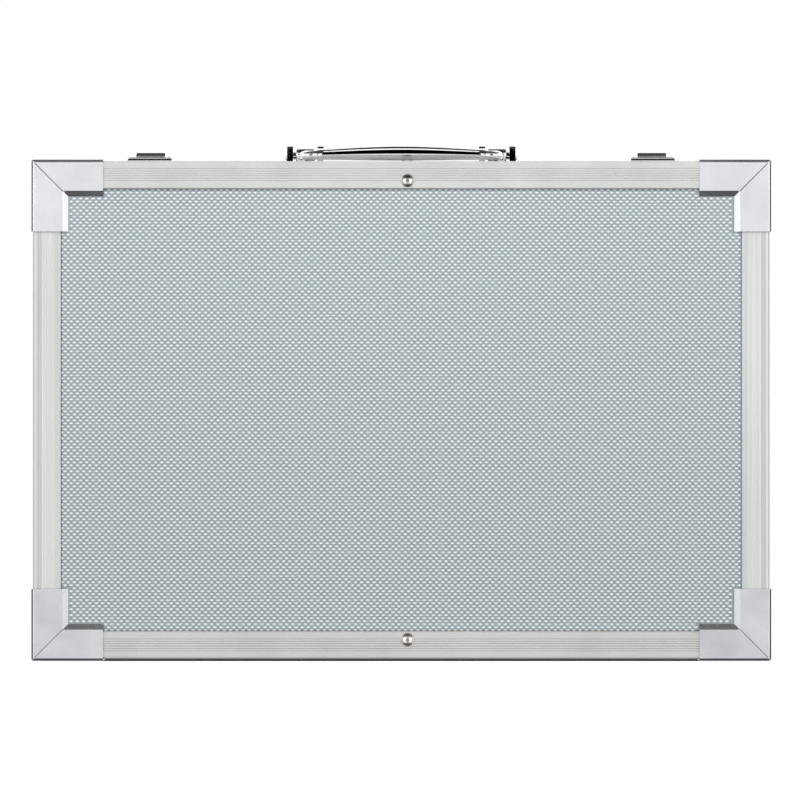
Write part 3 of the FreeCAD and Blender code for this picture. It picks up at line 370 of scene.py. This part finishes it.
@dataclass(frozen=True)
class DottedFoil:
    """The silver facing of the panels: a cool foil with painted shade on the board between its dots
    and low on them, and a painted highlight on their crowns.
    """

    name: str = "dotted_foil"
    metal: float = 0.52
    valley_shade: Colour = (0.238, 0.280, 0.300)
    crown_highlight: Colour = (0.78, 0.81, 0.82)
    gloss_low: float = 0.24
    gloss_high: float = 0.30
    lip_width: float = 0.0151
    lip_shade_width: float = 0.0011
    lip_shade_tone: float = 0.30
    cloud_cells: Triple = (30.0, 30.0, 30.0)
    cloud_detail: float = 4.0
    grain_cells: Triple = (2500.0, 2500.0, 2500.0)
    grain_detail: float = 2.0
    grain_depth: float = 0.00001

    def lip_shade(self, shader: Shader) -> Socket:
        """Painted shadow of the rails' lips on the facing: dark at the window's edge, one a little
        way in.

        Args:
            shader: The material under way.

        Returns:
            The share of the colour that is left.
        """
        low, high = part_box("lid_rail_left")[0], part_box("lid_rail_right")[1]
        axes = shader.axes()
        insets = []
        for axis, start, end in (("X", low.x, high.x), ("Z", low.z, high.z)):
            away = shader.math("SUBTRACT", axes[axis], (start + end) / 2)
            reach = (end - start) / 2 - self.lip_width
            insets.append(shader.math("SUBTRACT", reach, shader.math("ABSOLUTE", away)))
        least = shader.math("MINIMUM", *insets)
        return shader.ranged(least, (0.0, self.lip_shade_width), (self.lip_shade_tone, 1.0))

    def material(self) -> bpy.types.Material:
        """Build the material, which reads a dot's height from the attribute named rise.

        Returns:
            The finished material.
        """
        shader = Shader(self.name)
        shader.set("Metallic", self.metal)
        rise = shader.add("ShaderNodeAttribute", {})
        rise.attribute_name = "rise"
        # Painted shade at the dots' rims and on the board between them, painted highlight at their
        # peaks, by the rise attribute.
        painted_dot_light = shader.shade(rise.outputs["Fac"], self.valley_shade, self.crown_highlight)
        # Darken by the lips' painted shadow near the window's edge.
        shader.feed("Base Color", shader.scaled(painted_dot_light, self.lip_shade(shader)))
        clouds = shader.noise(self.cloud_cells, self.cloud_detail)
        shader.feed("Roughness", shader.spread(clouds, self.gloss_low, self.gloss_high))
        shader.bump(shader.noise(self.grain_cells, self.grain_detail), self.grain_depth)
        return shader.material


def mesh_piece(name: str, points: np.ndarray, faces: np.ndarray,
               smooth: bool = True) -> bpy.types.Object:
    """Put whole arrays into a new mesh object at the origin.

    Args:
        name: Name of the piece.
        points: Corner places, n by 3, in metres.
        faces: Corner numbers, m by 3 or m by 4.
        smooth: True to shade across the faces' edges.

    Returns:
        The new object, linked to the scene.
    """
    count, corners = faces.shape
    starts = np.arange(0, count * corners, corners, dtype=np.int32)
    mesh = bpy.data.meshes.new(name)
    mesh.vertices.add(len(points))
    mesh.vertices.foreach_set("co", points.astype(np.float32).ravel())
    mesh.loops.add(count * corners)
    mesh.loops.foreach_set("vertex_index", faces.astype(np.int32).ravel())
    mesh.polygons.add(count)
    mesh.polygons.foreach_set("loop_start", starts)
    mesh.polygons.foreach_set("use_smooth", np.full(count, smooth))
    mesh.update(calc_edges=True)
    mesh.validate()
    piece = bpy.data.objects.new(name, mesh)
    bpy.context.scene.collection.objects.link(piece)
    return piece


def grid_faces(rows: int, columns: int, wrap_rows: bool = False) -> np.ndarray:
    """Faces of a grid of points whose columns close into rings.

    Args:
        rows: Rings in the grid.
        columns: Points in a ring.
        wrap_rows: True where the last ring joins the first.

    Returns:
        Corner numbers, m by 4.
    """
    strips = rows if wrap_rows else rows - 1
    row, column = np.meshgrid(np.arange(strips), np.arange(columns), indexing="ij")
    beside = (column + 1) % columns
    here = row * columns
    above = (row + 1) % rows * columns
    corners = [here + column, here + beside, above + beside, above + column]
    return np.stack(corners, -1).reshape(-1, 4)


def join(surfaces: list[Surface]) -> Surface:
    """Join surfaces into one.

    Args:
        surfaces: Points and faces of each.

    Returns:
        Points and faces of all of them.
    """
    starts = np.cumsum([0] + [len(points) for points, _ in surfaces[:-1]])
    points = np.concatenate([points for points, _ in surfaces])
    faces = np.concatenate([faces + start for (_, faces), start in zip(surfaces, starts)])
    return points, faces


def ring(sides: int) -> tuple[np.ndarray, np.ndarray]:
    """Cosine and sine of evenly spaced turns round a circle."""
    turn = np.linspace(0.0, FULL_TURN, sides, endpoint=False)
    return np.cos(turn), np.sin(turn)


def dress_nodes(nodes: list[str], material: bpy.types.Material) -> None:
    """Give one material to CAD nodes, which keep their shape.

    Args:
        nodes: Names of the nodes.
        material: The material.
    """
    for name in nodes:
        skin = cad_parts[name].data
        skin.materials.clear()
        skin.materials.append(material)
        log.info("dressed %s in %s", name, material.name)


def dress_pieces(pieces: list[bpy.types.Object], material: bpy.types.Material) -> None:
    """Give one material to pieces made here."""
    for piece in pieces:
        piece.data.materials.append(material)


@dataclass
class PanelFacing:
    """The faced board of one half, with its field of small raised dots in staggered rows."""

    half: Half
    pitch_x: float = 0.003375
    pitch_z: float = 0.00324
    dot_width: float = 0.00270
    dot_height: float = 0.00185
    dot_rise: float = 0.00046
    dot_sides: int = 8
    window_margin: float = 0.0140
    cap_leg_width: float = 0.0200
    tuck: float = 0.3
    pieces: list[bpy.types.Object] = field(default_factory=list)

    def centres(self) -> np.ndarray:
        """Places of the dots: a grid of cells, with one dot at each corner and one in each middle.

        Returns:
            Dot centres, n by 2, as x and z.
        """
        low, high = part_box(f"{self.half.body}_panel")
        rails_low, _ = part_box(f"{self.half.body}_rail_left")
        _, rails_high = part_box(f"{self.half.body}_rail_right")
        left = rails_low.x + self.window_margin
        right = rails_high.x - self.window_margin
        bottom = rails_low.z + self.window_margin
        top = rails_high.z - self.window_margin
        across = np.arange(max(left, low.x), min(right, high.x), self.pitch_x)
        up = np.arange(max(bottom, low.z), min(top, high.z), self.pitch_z)
        corner_x, corner_z = np.meshgrid(across, up)
        corners = np.stack([corner_x.ravel(), corner_z.ravel()], 1)
        dots = np.concatenate([corners, corners + (self.pitch_x / 2, self.pitch_z / 2)])
        return dots[~self.under_caps(dots)]

    def under_caps(self, dots: np.ndarray) -> np.ndarray:
        """Which dots lie under the legs of the corner caps.

        Args:
            dots: Dot centres, n by 2, as x and z.

        Returns:
            True for each covered dot.
        """
        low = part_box(f"{self.half.body}_cap_bottom_left")
        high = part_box(f"{self.half.body}_cap_top_right")
        leg = low[1].x - low[0].x + self.dot_width * self.tuck
        in_x = np.minimum(dots[:, 0] - low[0].x, high[1].x - dots[:, 0])
        in_z = np.minimum(dots[:, 1] - low[0].z, high[1].z - dots[:, 1])
        level_leg = (in_x < leg) & (in_z < self.cap_leg_width + self.dot_height * self.tuck)
        upright_leg = (in_z < leg) & (in_x < self.cap_leg_width + self.dot_width * self.tuck)
        return level_leg | upright_leg

    def build(self) -> None:
        """Raise the dots: each is a cone of a few sides on the board's face, shaded to a dome."""
        centres = self.centres()
        low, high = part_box(f"{self.half.body}_panel")
        face = low.y if self.half is Half.LID else high.y
        cosine, sine = ring(self.dot_sides)
        flat = np.zeros_like(sine)
        rim = np.stack([cosine * self.dot_width, flat, sine * self.dot_height], 1) / 2
        peak = np.array([[0.0, self.half.value * self.dot_rise, 0.0]])
        pattern = np.concatenate([rim, peak])
        bases = np.stack([centres[:, 0], np.full(len(centres), face), centres[:, 1]], 1)
        points = (bases[:, None, :] + pattern[None, :, :]).reshape(-1, 3)
        side = np.arange(self.dot_sides)
        following = np.roll(side, -1)
        order = (side, following) if self.half is Half.LID else (following, side)
        fan = np.stack([*order, np.full(self.dot_sides, self.dot_sides)], 1)
        starts = np.arange(len(centres)) * len(pattern)
        faces = (starts[:, None, None] + fan[None, :, :]).reshape(-1, 3)
        dots = mesh_piece(f"{self.half.body}_panel_dots", points, faces)
        # Height share of each dot point, which the foil reads for its painted shade and painted
        # highlight.
        rise = dots.data.attributes.new("rise", "FLOAT", "POINT")
        heights = np.zeros(len(pattern))
        heights[-1] = 1.0
        rise.data.foreach_set("value", np.tile(heights, len(centres)).astype(np.float32))
        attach(dots, self.half.body)
        self.pieces.append(dots)
        log.info("built %s with %d dots", dots.name, len(centres))

    def dress(self, foil: bpy.types.Material) -> None:
        """Give the foil to the dots and to the board under them."""
        dress_pieces(self.pieces, foil)
        dress_nodes([f"{self.half.body}_panel"], foil)


@dataclass
class RailFrame:
    """The fluted rails round one half, drawn along their length."""

    half: Half

    def dress(self, level: bpy.types.Material, upright: bpy.types.Material) -> None:
        """Give each rail the drawn skin that runs its way.

        Args:
            level: Skin of the top and bottom rails.
            upright: Skin of the side rails.
        """
        dress_nodes([f"{self.half.body}_rail_{side}" for side in ("top", "bottom")], level)
        dress_nodes([f"{self.half.body}_rail_{side}" for side in ("left", "right")], upright)


@dataclass
class CornerCaps:
    """The four pressed corner caps of one half."""

    half: Half
    crease_start: float = 0.0022
    crease_end: float = 0.0172
    crease_half: float = 0.00040
    crease_depth: float = 0.00030
    crease_steps: int = 12
    pieces: list[bpy.types.Object] = field(default_factory=list)

    def build(self) -> None:
        """Line the mitre creases: a shallow V carried along the diagonal of each cap's face.

        A point is the cap's corner, plus its run along the diagonal, plus its place across it, and
        the middle of the V lies deeper in the cap than its two edges.
        """
        low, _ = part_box(f"{self.half.body}_cap_bottom_left")
        _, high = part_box(f"{self.half.body}_cap_top_right")
        out = low.y if self.half is Half.LID else high.y
        corners = np.array([[low.x, low.z, 1, 1], [high.x, low.z, -1, 1],
                            [low.x, high.z, 1, -1], [high.x, high.z, -1, -1]])
        run = np.linspace(self.crease_start, self.crease_end, self.crease_steps)
        across = np.array([-1.0, 0.0, 1.0]) * self.crease_half
        depth = np.array([0.0, 1.0, 0.0]) * self.crease_depth
        base = corners[:, None, None, :2]
        inward = corners[:, None, None, 2:]
        along = base + inward * run[None, :, None, None]
        turn = self.half.value * -np.prod(inward, -1, keepdims=True)
        aside = turn * inward * np.array([1.0, -1.0]) * across[None, None, :, None] / np.sqrt(2.0)
        flat = along + aside
        level = np.broadcast_to(out - self.half.value * depth, flat.shape[:3])
        points = np.stack([flat[..., 0], level, flat[..., 1]], -1).reshape(-1, 3)
        row = len(across)
        cap, step, side = np.meshgrid(np.arange(len(corners)), np.arange(self.crease_steps - 1),
                                      np.arange(row - 1), indexing="ij")
        here = (cap * self.crease_steps + step) * row + side
        faces = np.stack([here, here + 1, here + row + 1, here + row], -1).reshape(-1, 4)
        creases = mesh_piece(f"{self.half.body}_cap_creases", points, faces, False)
        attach(creases, self.half.body)
        self.pieces.append(creases)
        log.info("built %s", creases.name)

    def dress(self, plating: bpy.types.Material) -> None:
        """Give the caps and their creases the satin plating."""
        ends = [f"{end}_{side}" for end in ("top", "bottom") for side in ("left", "right")]
        dress_nodes([f"{self.half.body}_cap_{end}" for end in ends], plating)
        dress_pieces(self.pieces, plating)


@dataclass
class RivetSet:
    """The blind rivets, with the broken stems that show in the heads of the larger ones."""

    groups: tuple[str, ...] = ("lid_face_rivets", "base_face_rivets", "lid_top_rivet",
                               "lid_cap_rivets", "base_cap_rivets", "hinge_lid_rivets",
                               "hinge_base_rivets", "bracket_rivets", "latch_plate_rivets",
                               "latch_strike_rivets")
    stem_radius: float = 0.00082
    stem_rise: float = 0.0005
    radius_shares: tuple[float, ...] = (1.0, 1.0, 0.86, 0.45, 0.02)
    rise_shares: tuple[float, ...] = (0.0, 0.7, 1.0, 0.82, 0.72)
    bore_depth: float = 0.0008
    ring_sides: int = 24
    pieces: list[bpy.types.Object] = field(default_factory=list)

    def stem(self, foot: Vector, way: Vector) -> Surface:
        """A stem's surface: a profile of radius against height, carried round the rivet's axis.

        Args:
            foot: Middle of the floor of the head's hole.
            way: Unit direction out of the head.

        Returns:
            Points and four-cornered faces.
        """
        radius = np.array(self.radius_shares) * self.stem_radius
        height = np.array(self.rise_shares) * self.stem_rise
        cosine, sine = ring(self.ring_sides)
        axis = np.array(way)
        first = np.array(way.orthogonal().normalized())
        second = np.cross(axis, first)
        around = cosine[:, None] * first + sine[:, None] * second
        points = (np.array(foot) + radius[:, None, None] * around[None, :, :]
                  + height[:, None, None] * axis).reshape(-1, 3)
        return points, grid_faces(len(radius), self.ring_sides)

    def build(self) -> None:
        """Set a stem in each large head, found from the boxes of the rivet groups."""
        spots: dict[str, list[tuple[Vector, Vector]]] = {"lid": [], "base": []}
        for half in Half:
            low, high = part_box(f"{half.body}_face_rivets")
            reach = (high.x - low.x) / 2
            middle = (low.x + high.x) / 2
            out = low.y if half is Half.LID else high.y
            floor = out - half.value * self.bore_depth
            way = Vector((0, half.value, 0))
            for z in (low.z + reach, high.z - reach):
                spots[half.body].append((Vector((middle, floor, z)), way))
        low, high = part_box("lid_top_rivet")
        centre = (low + high) / 2
        top_foot = Vector((centre.x, centre.y, high.z - self.bore_depth))
        spots["lid"].append((top_foot, Vector((0, 0, 1))))
        for body, rivets in spots.items():
            surface = join([self.stem(foot, way) for foot, way in rivets])
            stems = mesh_piece(f"{body}_rivet_stems", *surface)
            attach(stems, body)
            self.pieces.append(stems)
            log.info("built %s with %d stems", stems.name, len(rivets))

    def dress(self, nickel: bpy.types.Material, steel: bpy.types.Material) -> None:
        """Give the heads nickel and the broken stems dark steel.

        Args:
            nickel: Skin of the heads.
            steel: Skin of the stems.
        """
        dress_nodes(list(self.groups), nickel)
        dress_pieces(self.pieces, steel)


@dataclass
class CarryHandle:
    """The folding handle: its bowed grip, its brackets and their pins."""

    nodes: tuple[str, ...] = ("handle_bracket_left", "handle_bracket_right",
                              "handle_pin_left", "handle_pin_right")
    arm: float = 0.0529
    reach: float = 0.0275
    bow: float = 0.003
    bend: float = 0.013
    tilt: float = 0.0546
    lift: float = 0.0009
    arm_wide: float = 0.0066
    arm_thick: float = 0.0050
    grip_wide: float = 0.0110
    grip_thick: float = 0.0076
    fullness: float = 1.5
    end_share: float = 0.02
    eye_radius: float = 0.0039
    eye_bore: float = 0.00206
    eye_length: float = 0.0106
    eye_round: float = 0.0006
    sides: int = 40
    arm_steps: int = 10
    bend_steps: int = 24
    bar_steps: int = 40
    pieces: list[bpy.types.Object] = field(default_factory=list)

    def pivot(self) -> np.ndarray:
        """Middle of the line on which the grip turns."""
        left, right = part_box("handle_pin_left"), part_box("handle_pin_right")
        return np.array((left[0] + left[1] + right[0] + right[1]) / 4)

    def line(self) -> tuple[np.ndarray, np.ndarray]:
        """Middle line of the bar: an arm, a round bend, a bowed bar, and the same again mirrored.

        Returns:
            Points as across, reach and lift, and each point's share of the way to the middle.
        """
        straight = self.arm - self.bend
        foot = self.reach - self.bow - self.bend
        steps = self.arm_steps
        arm = np.stack([np.full(steps, self.arm), np.linspace(0.0, foot, steps)], 1)
        turn = np.linspace(0.0, QUARTER_TURN, self.bend_steps)[1:]
        bend = np.stack([straight + self.bend * np.cos(turn), foot + self.bend * np.sin(turn)], 1)
        across = np.linspace(straight, 0.0, self.bar_steps)[1:]
        bar = np.stack([across, self.reach - self.bow * (across / straight) ** 2], 1)
        half = np.concatenate([arm, bend, bar])
        share = np.clip(1.0 - half[:, 0] / self.arm, 0.0, 1.0)
        rise = self.lift * np.sin(share * QUARTER_TURN)
        half = np.concatenate([half, rise[:, None]], 1)
        other = half[-2::-1] * (-1.0, 1.0, 1.0)
        return np.concatenate([half, other]), np.concatenate([share, share[-2::-1]])

    def bar(self) -> Surface:
        """The bar: an oval carried along the middle line, fuller towards the middle.

        Returns:
            Points and faces.
        """
        line, share = self.line()
        ahead = np.gradient(line[:, :2], axis=0)
        ahead /= np.linalg.norm(ahead, axis=1, keepdims=True)
        outward = np.stack([ahead[:, 1], -ahead[:, 0], np.zeros(len(line))], 1)
        upward = np.array([0.0, 0.0, 1.0])
        full = np.sin(share * QUARTER_TURN) ** self.fullness
        close = np.ones(len(line))
        close[[0, -1]] = self.end_share
        wide = (self.arm_wide + (self.grip_wide - self.arm_wide) * full) * close / 2
        thick = (self.arm_thick + (self.grip_thick - self.arm_thick) * full) * close / 2
        cosine, sine = ring(self.sides)
        points = (line[:, None, :] + outward[:, None, :] * (wide[:, None] * cosine)[..., None]
                  + upward * (thick[:, None] * sine)[..., None])
        return points.reshape(-1, 3), grid_faces(len(line), self.sides)

    def eye(self, side: float) -> Surface:
        """An eye: a closed section with eased corners, carried round the pivot.

        Args:
            side: Minus one for the left eye and one for the right.

        Returns:
            Points and faces.
        """
        half, ease = self.eye_length / 2, self.eye_round
        eased = self.eye_radius - ease
        radius = np.array([self.eye_bore, self.eye_bore, eased, self.eye_radius,
                           self.eye_radius, eased])
        place = np.array([half, -half, -half, ease - half, half - ease, half]) + side * self.arm
        cosine, sine = ring(self.sides)
        points = np.stack([np.broadcast_to(place[:, None], (len(place), self.sides)),
                           radius[:, None] * cosine, radius[:, None] * sine], -1)
        return points.reshape(-1, 3), grid_faces(len(radius), self.sides, True)

    def build(self) -> None:
        """Make the grip, lean it forward over the lid and set it on the pivot."""
        points, faces = join([self.bar(), self.eye(-1.0), self.eye(1.0)])
        lean, drop = np.cos(self.tilt), np.sin(self.tilt)
        forward = -points[:, 1] * lean + points[:, 2] * -drop
        upward = -points[:, 1] * drop + points[:, 2] * lean
        placed = np.stack([points[:, 0], forward, upward], 1) + self.pivot() * (0.0, 1.0, 1.0)
        grip = mesh_piece("handle_grip_bowed", placed, faces)
        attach(grip, "handle")
        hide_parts("handle_grip")
        self.pieces.append(grip)
        log.info("built %s", grip.name)

    def dress(self, chrome: bpy.types.Material) -> None:
        """Give the handle its bright plating."""
        dress_nodes(list(self.nodes), chrome)
        dress_pieces(self.pieces, chrome)


@dataclass
class DrawLatch:
    """One draw latch: base plate, lever, bail, strike and their pins."""

    side: str
    parts: tuple[str, ...] = ("plate", "lever", "lever_pin", "bail", "bail_pins", "strike")

    def dress(self, chrome: bpy.types.Material) -> None:
        """Give the latch its bright plating."""
        dress_nodes([f"latch_{self.side}_{part}" for part in self.parts], chrome)


@dataclass
class HingeRun:
    """The long hinge: two leaves and their pin."""

    nodes: tuple[str, ...] = ("hinge_leaf_lid", "hinge_leaf_base", "hinge_pin")

    def dress(self, zinc: bpy.types.Material) -> None:
        """Give the hinge its zinc-coated steel."""
        dress_nodes(list(self.nodes), zinc)


@dataclass
class MouldedTrays:
    """The compartment tray of the base and the pad tray of the lid."""

    nodes: tuple[str, ...] = ("lid_tray", "base_tray")

    def dress(self, plastic: bpy.types.Material) -> None:
        """Give the trays their black moulded plastic."""
        dress_nodes(list(self.nodes), plastic)


@dataclass(frozen=True)
class Card:
    """A flat studio card between two level edges, seen only as a band in the bright plating."""

    name: str
    left: float
    right: float
    near: float
    far: float
    foot: float
    head: float
    glow: float = 0.0

    def build(self) -> None:
        """Hang the card: its first edge at near and foot, its second at far and head."""
        corners = np.array([[self.left, self.near, self.foot], [self.right, self.near, self.foot],
                            [self.right, self.far, self.head], [self.left, self.far, self.head]])
        card = mesh_piece(f"studio_{self.name}_card", corners, ONE_FACE, False)
        shader = Shader(f"{self.name}_card")
        shader.set("Base Color", BLACK)
        shader.set("Specular IOR Level", 0.0)
        shader.set("Emission Color", WHITE)
        shader.set("Emission Strength", self.glow)
        card.data.materials.append(shader.material)
        card.visible_camera = card.visible_diffuse = card.visible_shadow = False


@dataclass(frozen=True)
class SoftLight:
    """A square soft light that metal does not mirror, in metres and watts."""

    name: str
    place: Triple
    aim: Triple
    size: float
    power: float

    def build(self) -> bpy.types.Object:
        """Hang the light and turn it to its aim.

        Returns:
            The light.
        """
        data = bpy.data.lights.new(self.name, "AREA")
        data.size, data.energy = self.size, self.power
        lamp = bpy.data.objects.new(self.name, data)
        way = Vector(self.aim) - Vector(self.place)
        lamp.location = self.place
        lamp.rotation_euler = way.to_track_quat("-Z", "Y").to_euler()
        lamp.visible_glossy = False
        bpy.context.scene.collection.objects.link(lamp)
        return lamp


@dataclass
class Studio:
    """Nearly clear pale floor, light all round in bands, soft lights, cards and the camera."""

    floor_reach: float = 1.2
    floor_near: float = 0.3
    floor_body: float = 0.03
    floor_drop: float = 0.0002
    floor_roughness: float = 0.9
    floor_cells: Triple = (3.0, 3.0, 3.0)
    floor_dark: Colour = (0.90, 0.90, 0.90)
    floor_light: Colour = (0.93, 0.93, 0.93)
    slit_top: float = 0.0003
    slit_depth: float = 0.0034
    camera_place: Triple = (-0.0007, -2.0325, 0.1410)
    camera_lens: float = 166.7
    camera_sensor: float = 36.0
    cards: tuple[Card, ...] = (
        Card("grip_front", -0.066, 0.066, -0.05, -0.05, 0.2725, 0.613),
        Card("grip_rear", -0.047, 0.047, 0.012, 0.012, 0.281, 0.315),
        Card("grip_top", -0.060, 0.060, -0.020, 0.020, 0.360, 0.360, 1.2),
        Card("left_hood", -0.205, -0.145, -0.60, -0.60, 0.3097, 0.345, 0.17),
        Card("right_hood", 0.145, 0.205, -0.60, -0.60, 0.3097, 0.345, 0.17),
        Card("left_foot", -0.205, -0.145, -0.60, -0.60, 0.300, 0.3096, 0.62),
        Card("right_foot", 0.145, 0.205, -0.60, -0.60, 0.300, 0.3096, 0.62),
        Card("left_strike", -0.157, -0.126, -0.10, -0.10, 0.284, 0.353),
        Card("right_strike", 0.126, 0.157, -0.10, -0.10, 0.284, 0.353),
        Card("left_lip", -0.156, -0.128, -0.054, -0.011, 0.360, 0.360, 0.8),
        Card("right_lip", 0.128, 0.156, -0.054, -0.011, 0.360, 0.360, 0.8))
    lights: tuple[SoftLight, ...] = (
        SoftLight("overhead_light", (0.0, 0.0, 2.6), (0.0, 0.0, 0.0), 3.0, 22.0),
        SoftLight("front_light", (0.0, -0.55, 0.75), (0.0, 0.0, 0.17), 0.6, 5.5),
        SoftLight("rear_light", (0.0, 0.55, 0.75), (0.0, 0.0, 0.17), 0.6, 5.5))
    wash: SoftLight = SoftLight("floor_light", (0.0, 0.0, 2.6), (0.0, 0.0, 0.0), 3.0, 75.0)
    sky_power: float = 3.0
    by_height: Stops = ((0.0, 0.02), (0.14, 0.03), (0.21, 0.50), (0.30, 0.62), (0.40, 0.52),
                        (0.45, 0.40), (0.50, 0.56), (0.55, 1.0), (0.66, 1.0), (0.74, 0.42),
                        (0.82, 0.08), (1.0, 0.02))
    by_depth: Stops = ((0.0, 0.62), (0.08, 0.64), (0.20, 0.98), (0.28, 1.0), (0.33, 0.06),
                       (0.44, 0.06), (0.48, 0.9), (0.53, 0.9), (0.58, 0.50), (0.84, 0.52),
                       (0.93, 0.66), (1.0, 0.66))

    def floor(self) -> bpy.types.Object:
        """A pale floor that takes soft shade, clear enough to show the lid where it opens below it.

        Returns:
            The floor.
        """
        reach, drop = self.floor_reach, -self.floor_drop
        corners = np.array([[-reach, -reach, drop], [reach, -reach, drop],
                            [reach, reach, drop], [-reach, reach, drop]])
        ground = mesh_piece("studio_floor", corners, ONE_FACE, False)
        shader = Shader("pale_floor")
        shader.set("Roughness", self.floor_roughness)
        shader.set("Specular IOR Level", 0.0)
        clouds = shader.noise(self.floor_cells)
        shader.feed("Base Color", shader.shade(clouds, self.floor_dark, self.floor_light))
        away = shader.add("ShaderNodeVectorMath", {0: shader.coordinates()}, "LENGTH")
        fade = (self.floor_near, reach), (self.floor_body, 0.0)
        shader.feed("Alpha", shader.ranged(away.outputs["Value"], *fade))
        ground.data.materials.append(shader.material)
        ground.visible_glossy = ground.visible_diffuse = False
        return ground

    def slit_shade(self) -> None:
        """A black card below the floor, seen from in front in the slit under the rails."""
        low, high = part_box("base_rail_bottom")
        deep = (low.y + high.y) / 2
        foot, head = -self.slit_depth, -self.slit_top
        corners = np.array([[low.x, deep, foot], [high.x, deep, foot],
                            [high.x, deep, head], [low.x, deep, head]])
        card = mesh_piece("studio_slit_shade", corners, ONE_FACE, False)
        shader = Shader("slit_shade")
        shader.set("Base Color", BLACK)
        shader.set("Specular IOR Level", 0.0)
        back = shader.add("ShaderNodeNewGeometry", {}).outputs["Backfacing"]
        shader.feed("Alpha", shader.math("SUBTRACT", 1.0, back))
        card.data.materials.append(shader.material)
        card.visible_glossy = card.visible_diffuse = card.visible_shadow = False

    def sky(self) -> None:
        """Light from all round, a grey by height times a grey by depth, on a white backdrop."""
        world = bpy.data.worlds.new("studio_light")
        bpy.context.scene.world = world
        world.use_nodes = True
        nodes = Nodes(world.node_tree)
        axes = nodes.axes("Generated")
        greys = [nodes.grey_ramp(nodes.ranged(axes[axis], (-1.0, 1.0), (0.0, 1.0)), stops)
                 for axis, stops in (("Z", self.by_height), ("Y", self.by_depth))]
        both = nodes.add("ShaderNodeVectorMath", dict(enumerate(greys)), "MULTIPLY")
        light = nodes.tree.nodes["Background"]
        light.inputs["Strength"].default_value = self.sky_power
        nodes.tree.links.new(both.outputs["Vector"], light.inputs["Color"])
        backdrop = nodes.add("ShaderNodeBackground", {"Color": WHITE})
        seen = nodes.add("ShaderNodeLightPath", {}).outputs["Is Camera Ray"]
        choice = nodes.add("ShaderNodeMixShader",
                           {"Fac": seen, 1: light.outputs[0], 2: backdrop.outputs[0]})
        surface = nodes.tree.nodes["World Output"].inputs["Surface"]
        nodes.tree.links.new(choice.outputs["Shader"], surface)

    def camera(self) -> None:
        """A long lens straight in front of the case, level with its middle."""
        data = bpy.data.cameras.new("front_camera")
        data.lens, data.sensor_width = self.camera_lens, self.camera_sensor
        camera = bpy.data.objects.new("front_camera", data)
        camera.location = self.camera_place
        camera.rotation_euler = (QUARTER_TURN, 0.0, 0.0)
        bpy.context.scene.collection.objects.link(camera)
        bpy.context.scene.camera = camera

    def build(self) -> None:
        """Set up floor, light, cards and camera."""
        lit = bpy.data.collections.new("lit_floor")
        lit.objects.link(self.floor())
        self.slit_shade()
        self.sky()
        for piece in (*self.cards, *self.lights):
            piece.build()
        self.wash.build().light_linking.receiver_collection = lit
        self.camera()
        bpy.context.scene.view_settings.view_transform = "Standard"
        log.info("built the studio with %d cards", len(self.cards))


def main() -> None:
    """Build the sub-assemblies in order, dress them and set up the studio."""
    logging.basicConfig(level=logging.INFO, format="%(name)s: %(message)s")
    level = MetalFinish(
        "anodised_level", dark=(0.429, 0.438, 0.426), light=(0.484, 0.493, 0.480),
        gloss_low=0.46, gloss_high=0.54, run=Run.WIDTH, grain_depth=0.000004,
        metal=0.35).material()
    upright = MetalFinish(
        # The upright rails carry painted shade and painted highlights in bands.
        "anodised_upright", dark=(0.546, 0.559, 0.543), light=(0.679, 0.692, 0.675),
        gloss_low=0.46, gloss_high=0.54, run=Run.HEIGHT, grain_depth=0.000010,
        metal=0.35, grain_tone=0.7, mottle=(35.0, 35.0, 4.0), pattern=PaintedBandShading()).material()
    # The satin plating carries a painted dark reflection along the caps' upright outer edges.
    plating = MetalFinish(
        "satin_plating", dark=(0.50, 0.51, 0.535), light=(0.60, 0.61, 0.635),
        gloss_low=0.20, gloss_high=0.28, run=Run.EVEN, grain_depth=0.000006,
        metal=0.9, pattern=PaintedEdgeReflection()).material()
    chrome = MetalFinish(
        "bright_chrome", dark=(0.88, 0.885, 0.89), light=(0.945, 0.95, 0.955),
        gloss_low=0.02, gloss_high=0.05, run=Run.EVEN, grain_depth=0.0000003).material()
    nickel = MetalFinish(
        "rivet_nickel", dark=(0.64, 0.60, 0.53), light=(0.80, 0.77, 0.71),
        gloss_low=0.24, gloss_high=0.34, run=Run.EVEN, grain_depth=0.000002).material()
    steel = MetalFinish(
        "dark_steel", dark=(0.14, 0.14, 0.135), light=(0.30, 0.29, 0.28),
        gloss_low=0.35, gloss_high=0.55, run=Run.EVEN, grain_depth=0.00001).material()
    zinc = MetalFinish(
        "zinc_steel", dark=(0.58, 0.59, 0.61), light=(0.76, 0.77, 0.79),
        gloss_low=0.28, gloss_high=0.40, run=Run.WIDTH, grain_depth=0.000004).material()
    plastic = PlasticFinish(
        "black_plastic", dark=(0.012, 0.012, 0.013), light=(0.026, 0.026, 0.028),
        gloss_low=0.40, gloss_high=0.58, grain_cells=1900.0, grain_depth=0.00003).material()
    foil = DottedFoil().material()
    for half in Half:
        facing = PanelFacing(half)
        facing.build()
        facing.dress(foil)
        RailFrame(half).dress(level, upright)
        caps = CornerCaps(half)
        caps.build()
        caps.dress(plating)
    rivets = RivetSet()
    rivets.build()
    rivets.dress(nickel, steel)
    handle = CarryHandle()
    handle.build()
    handle.dress(chrome)
    for side in ("left", "right"):
        DrawLatch(side).dress(chrome)
    HingeRun().dress(zinc)
    MouldedTrays().dress(plastic)
    Studio().build()


if __name__ == "__main__":
    main()
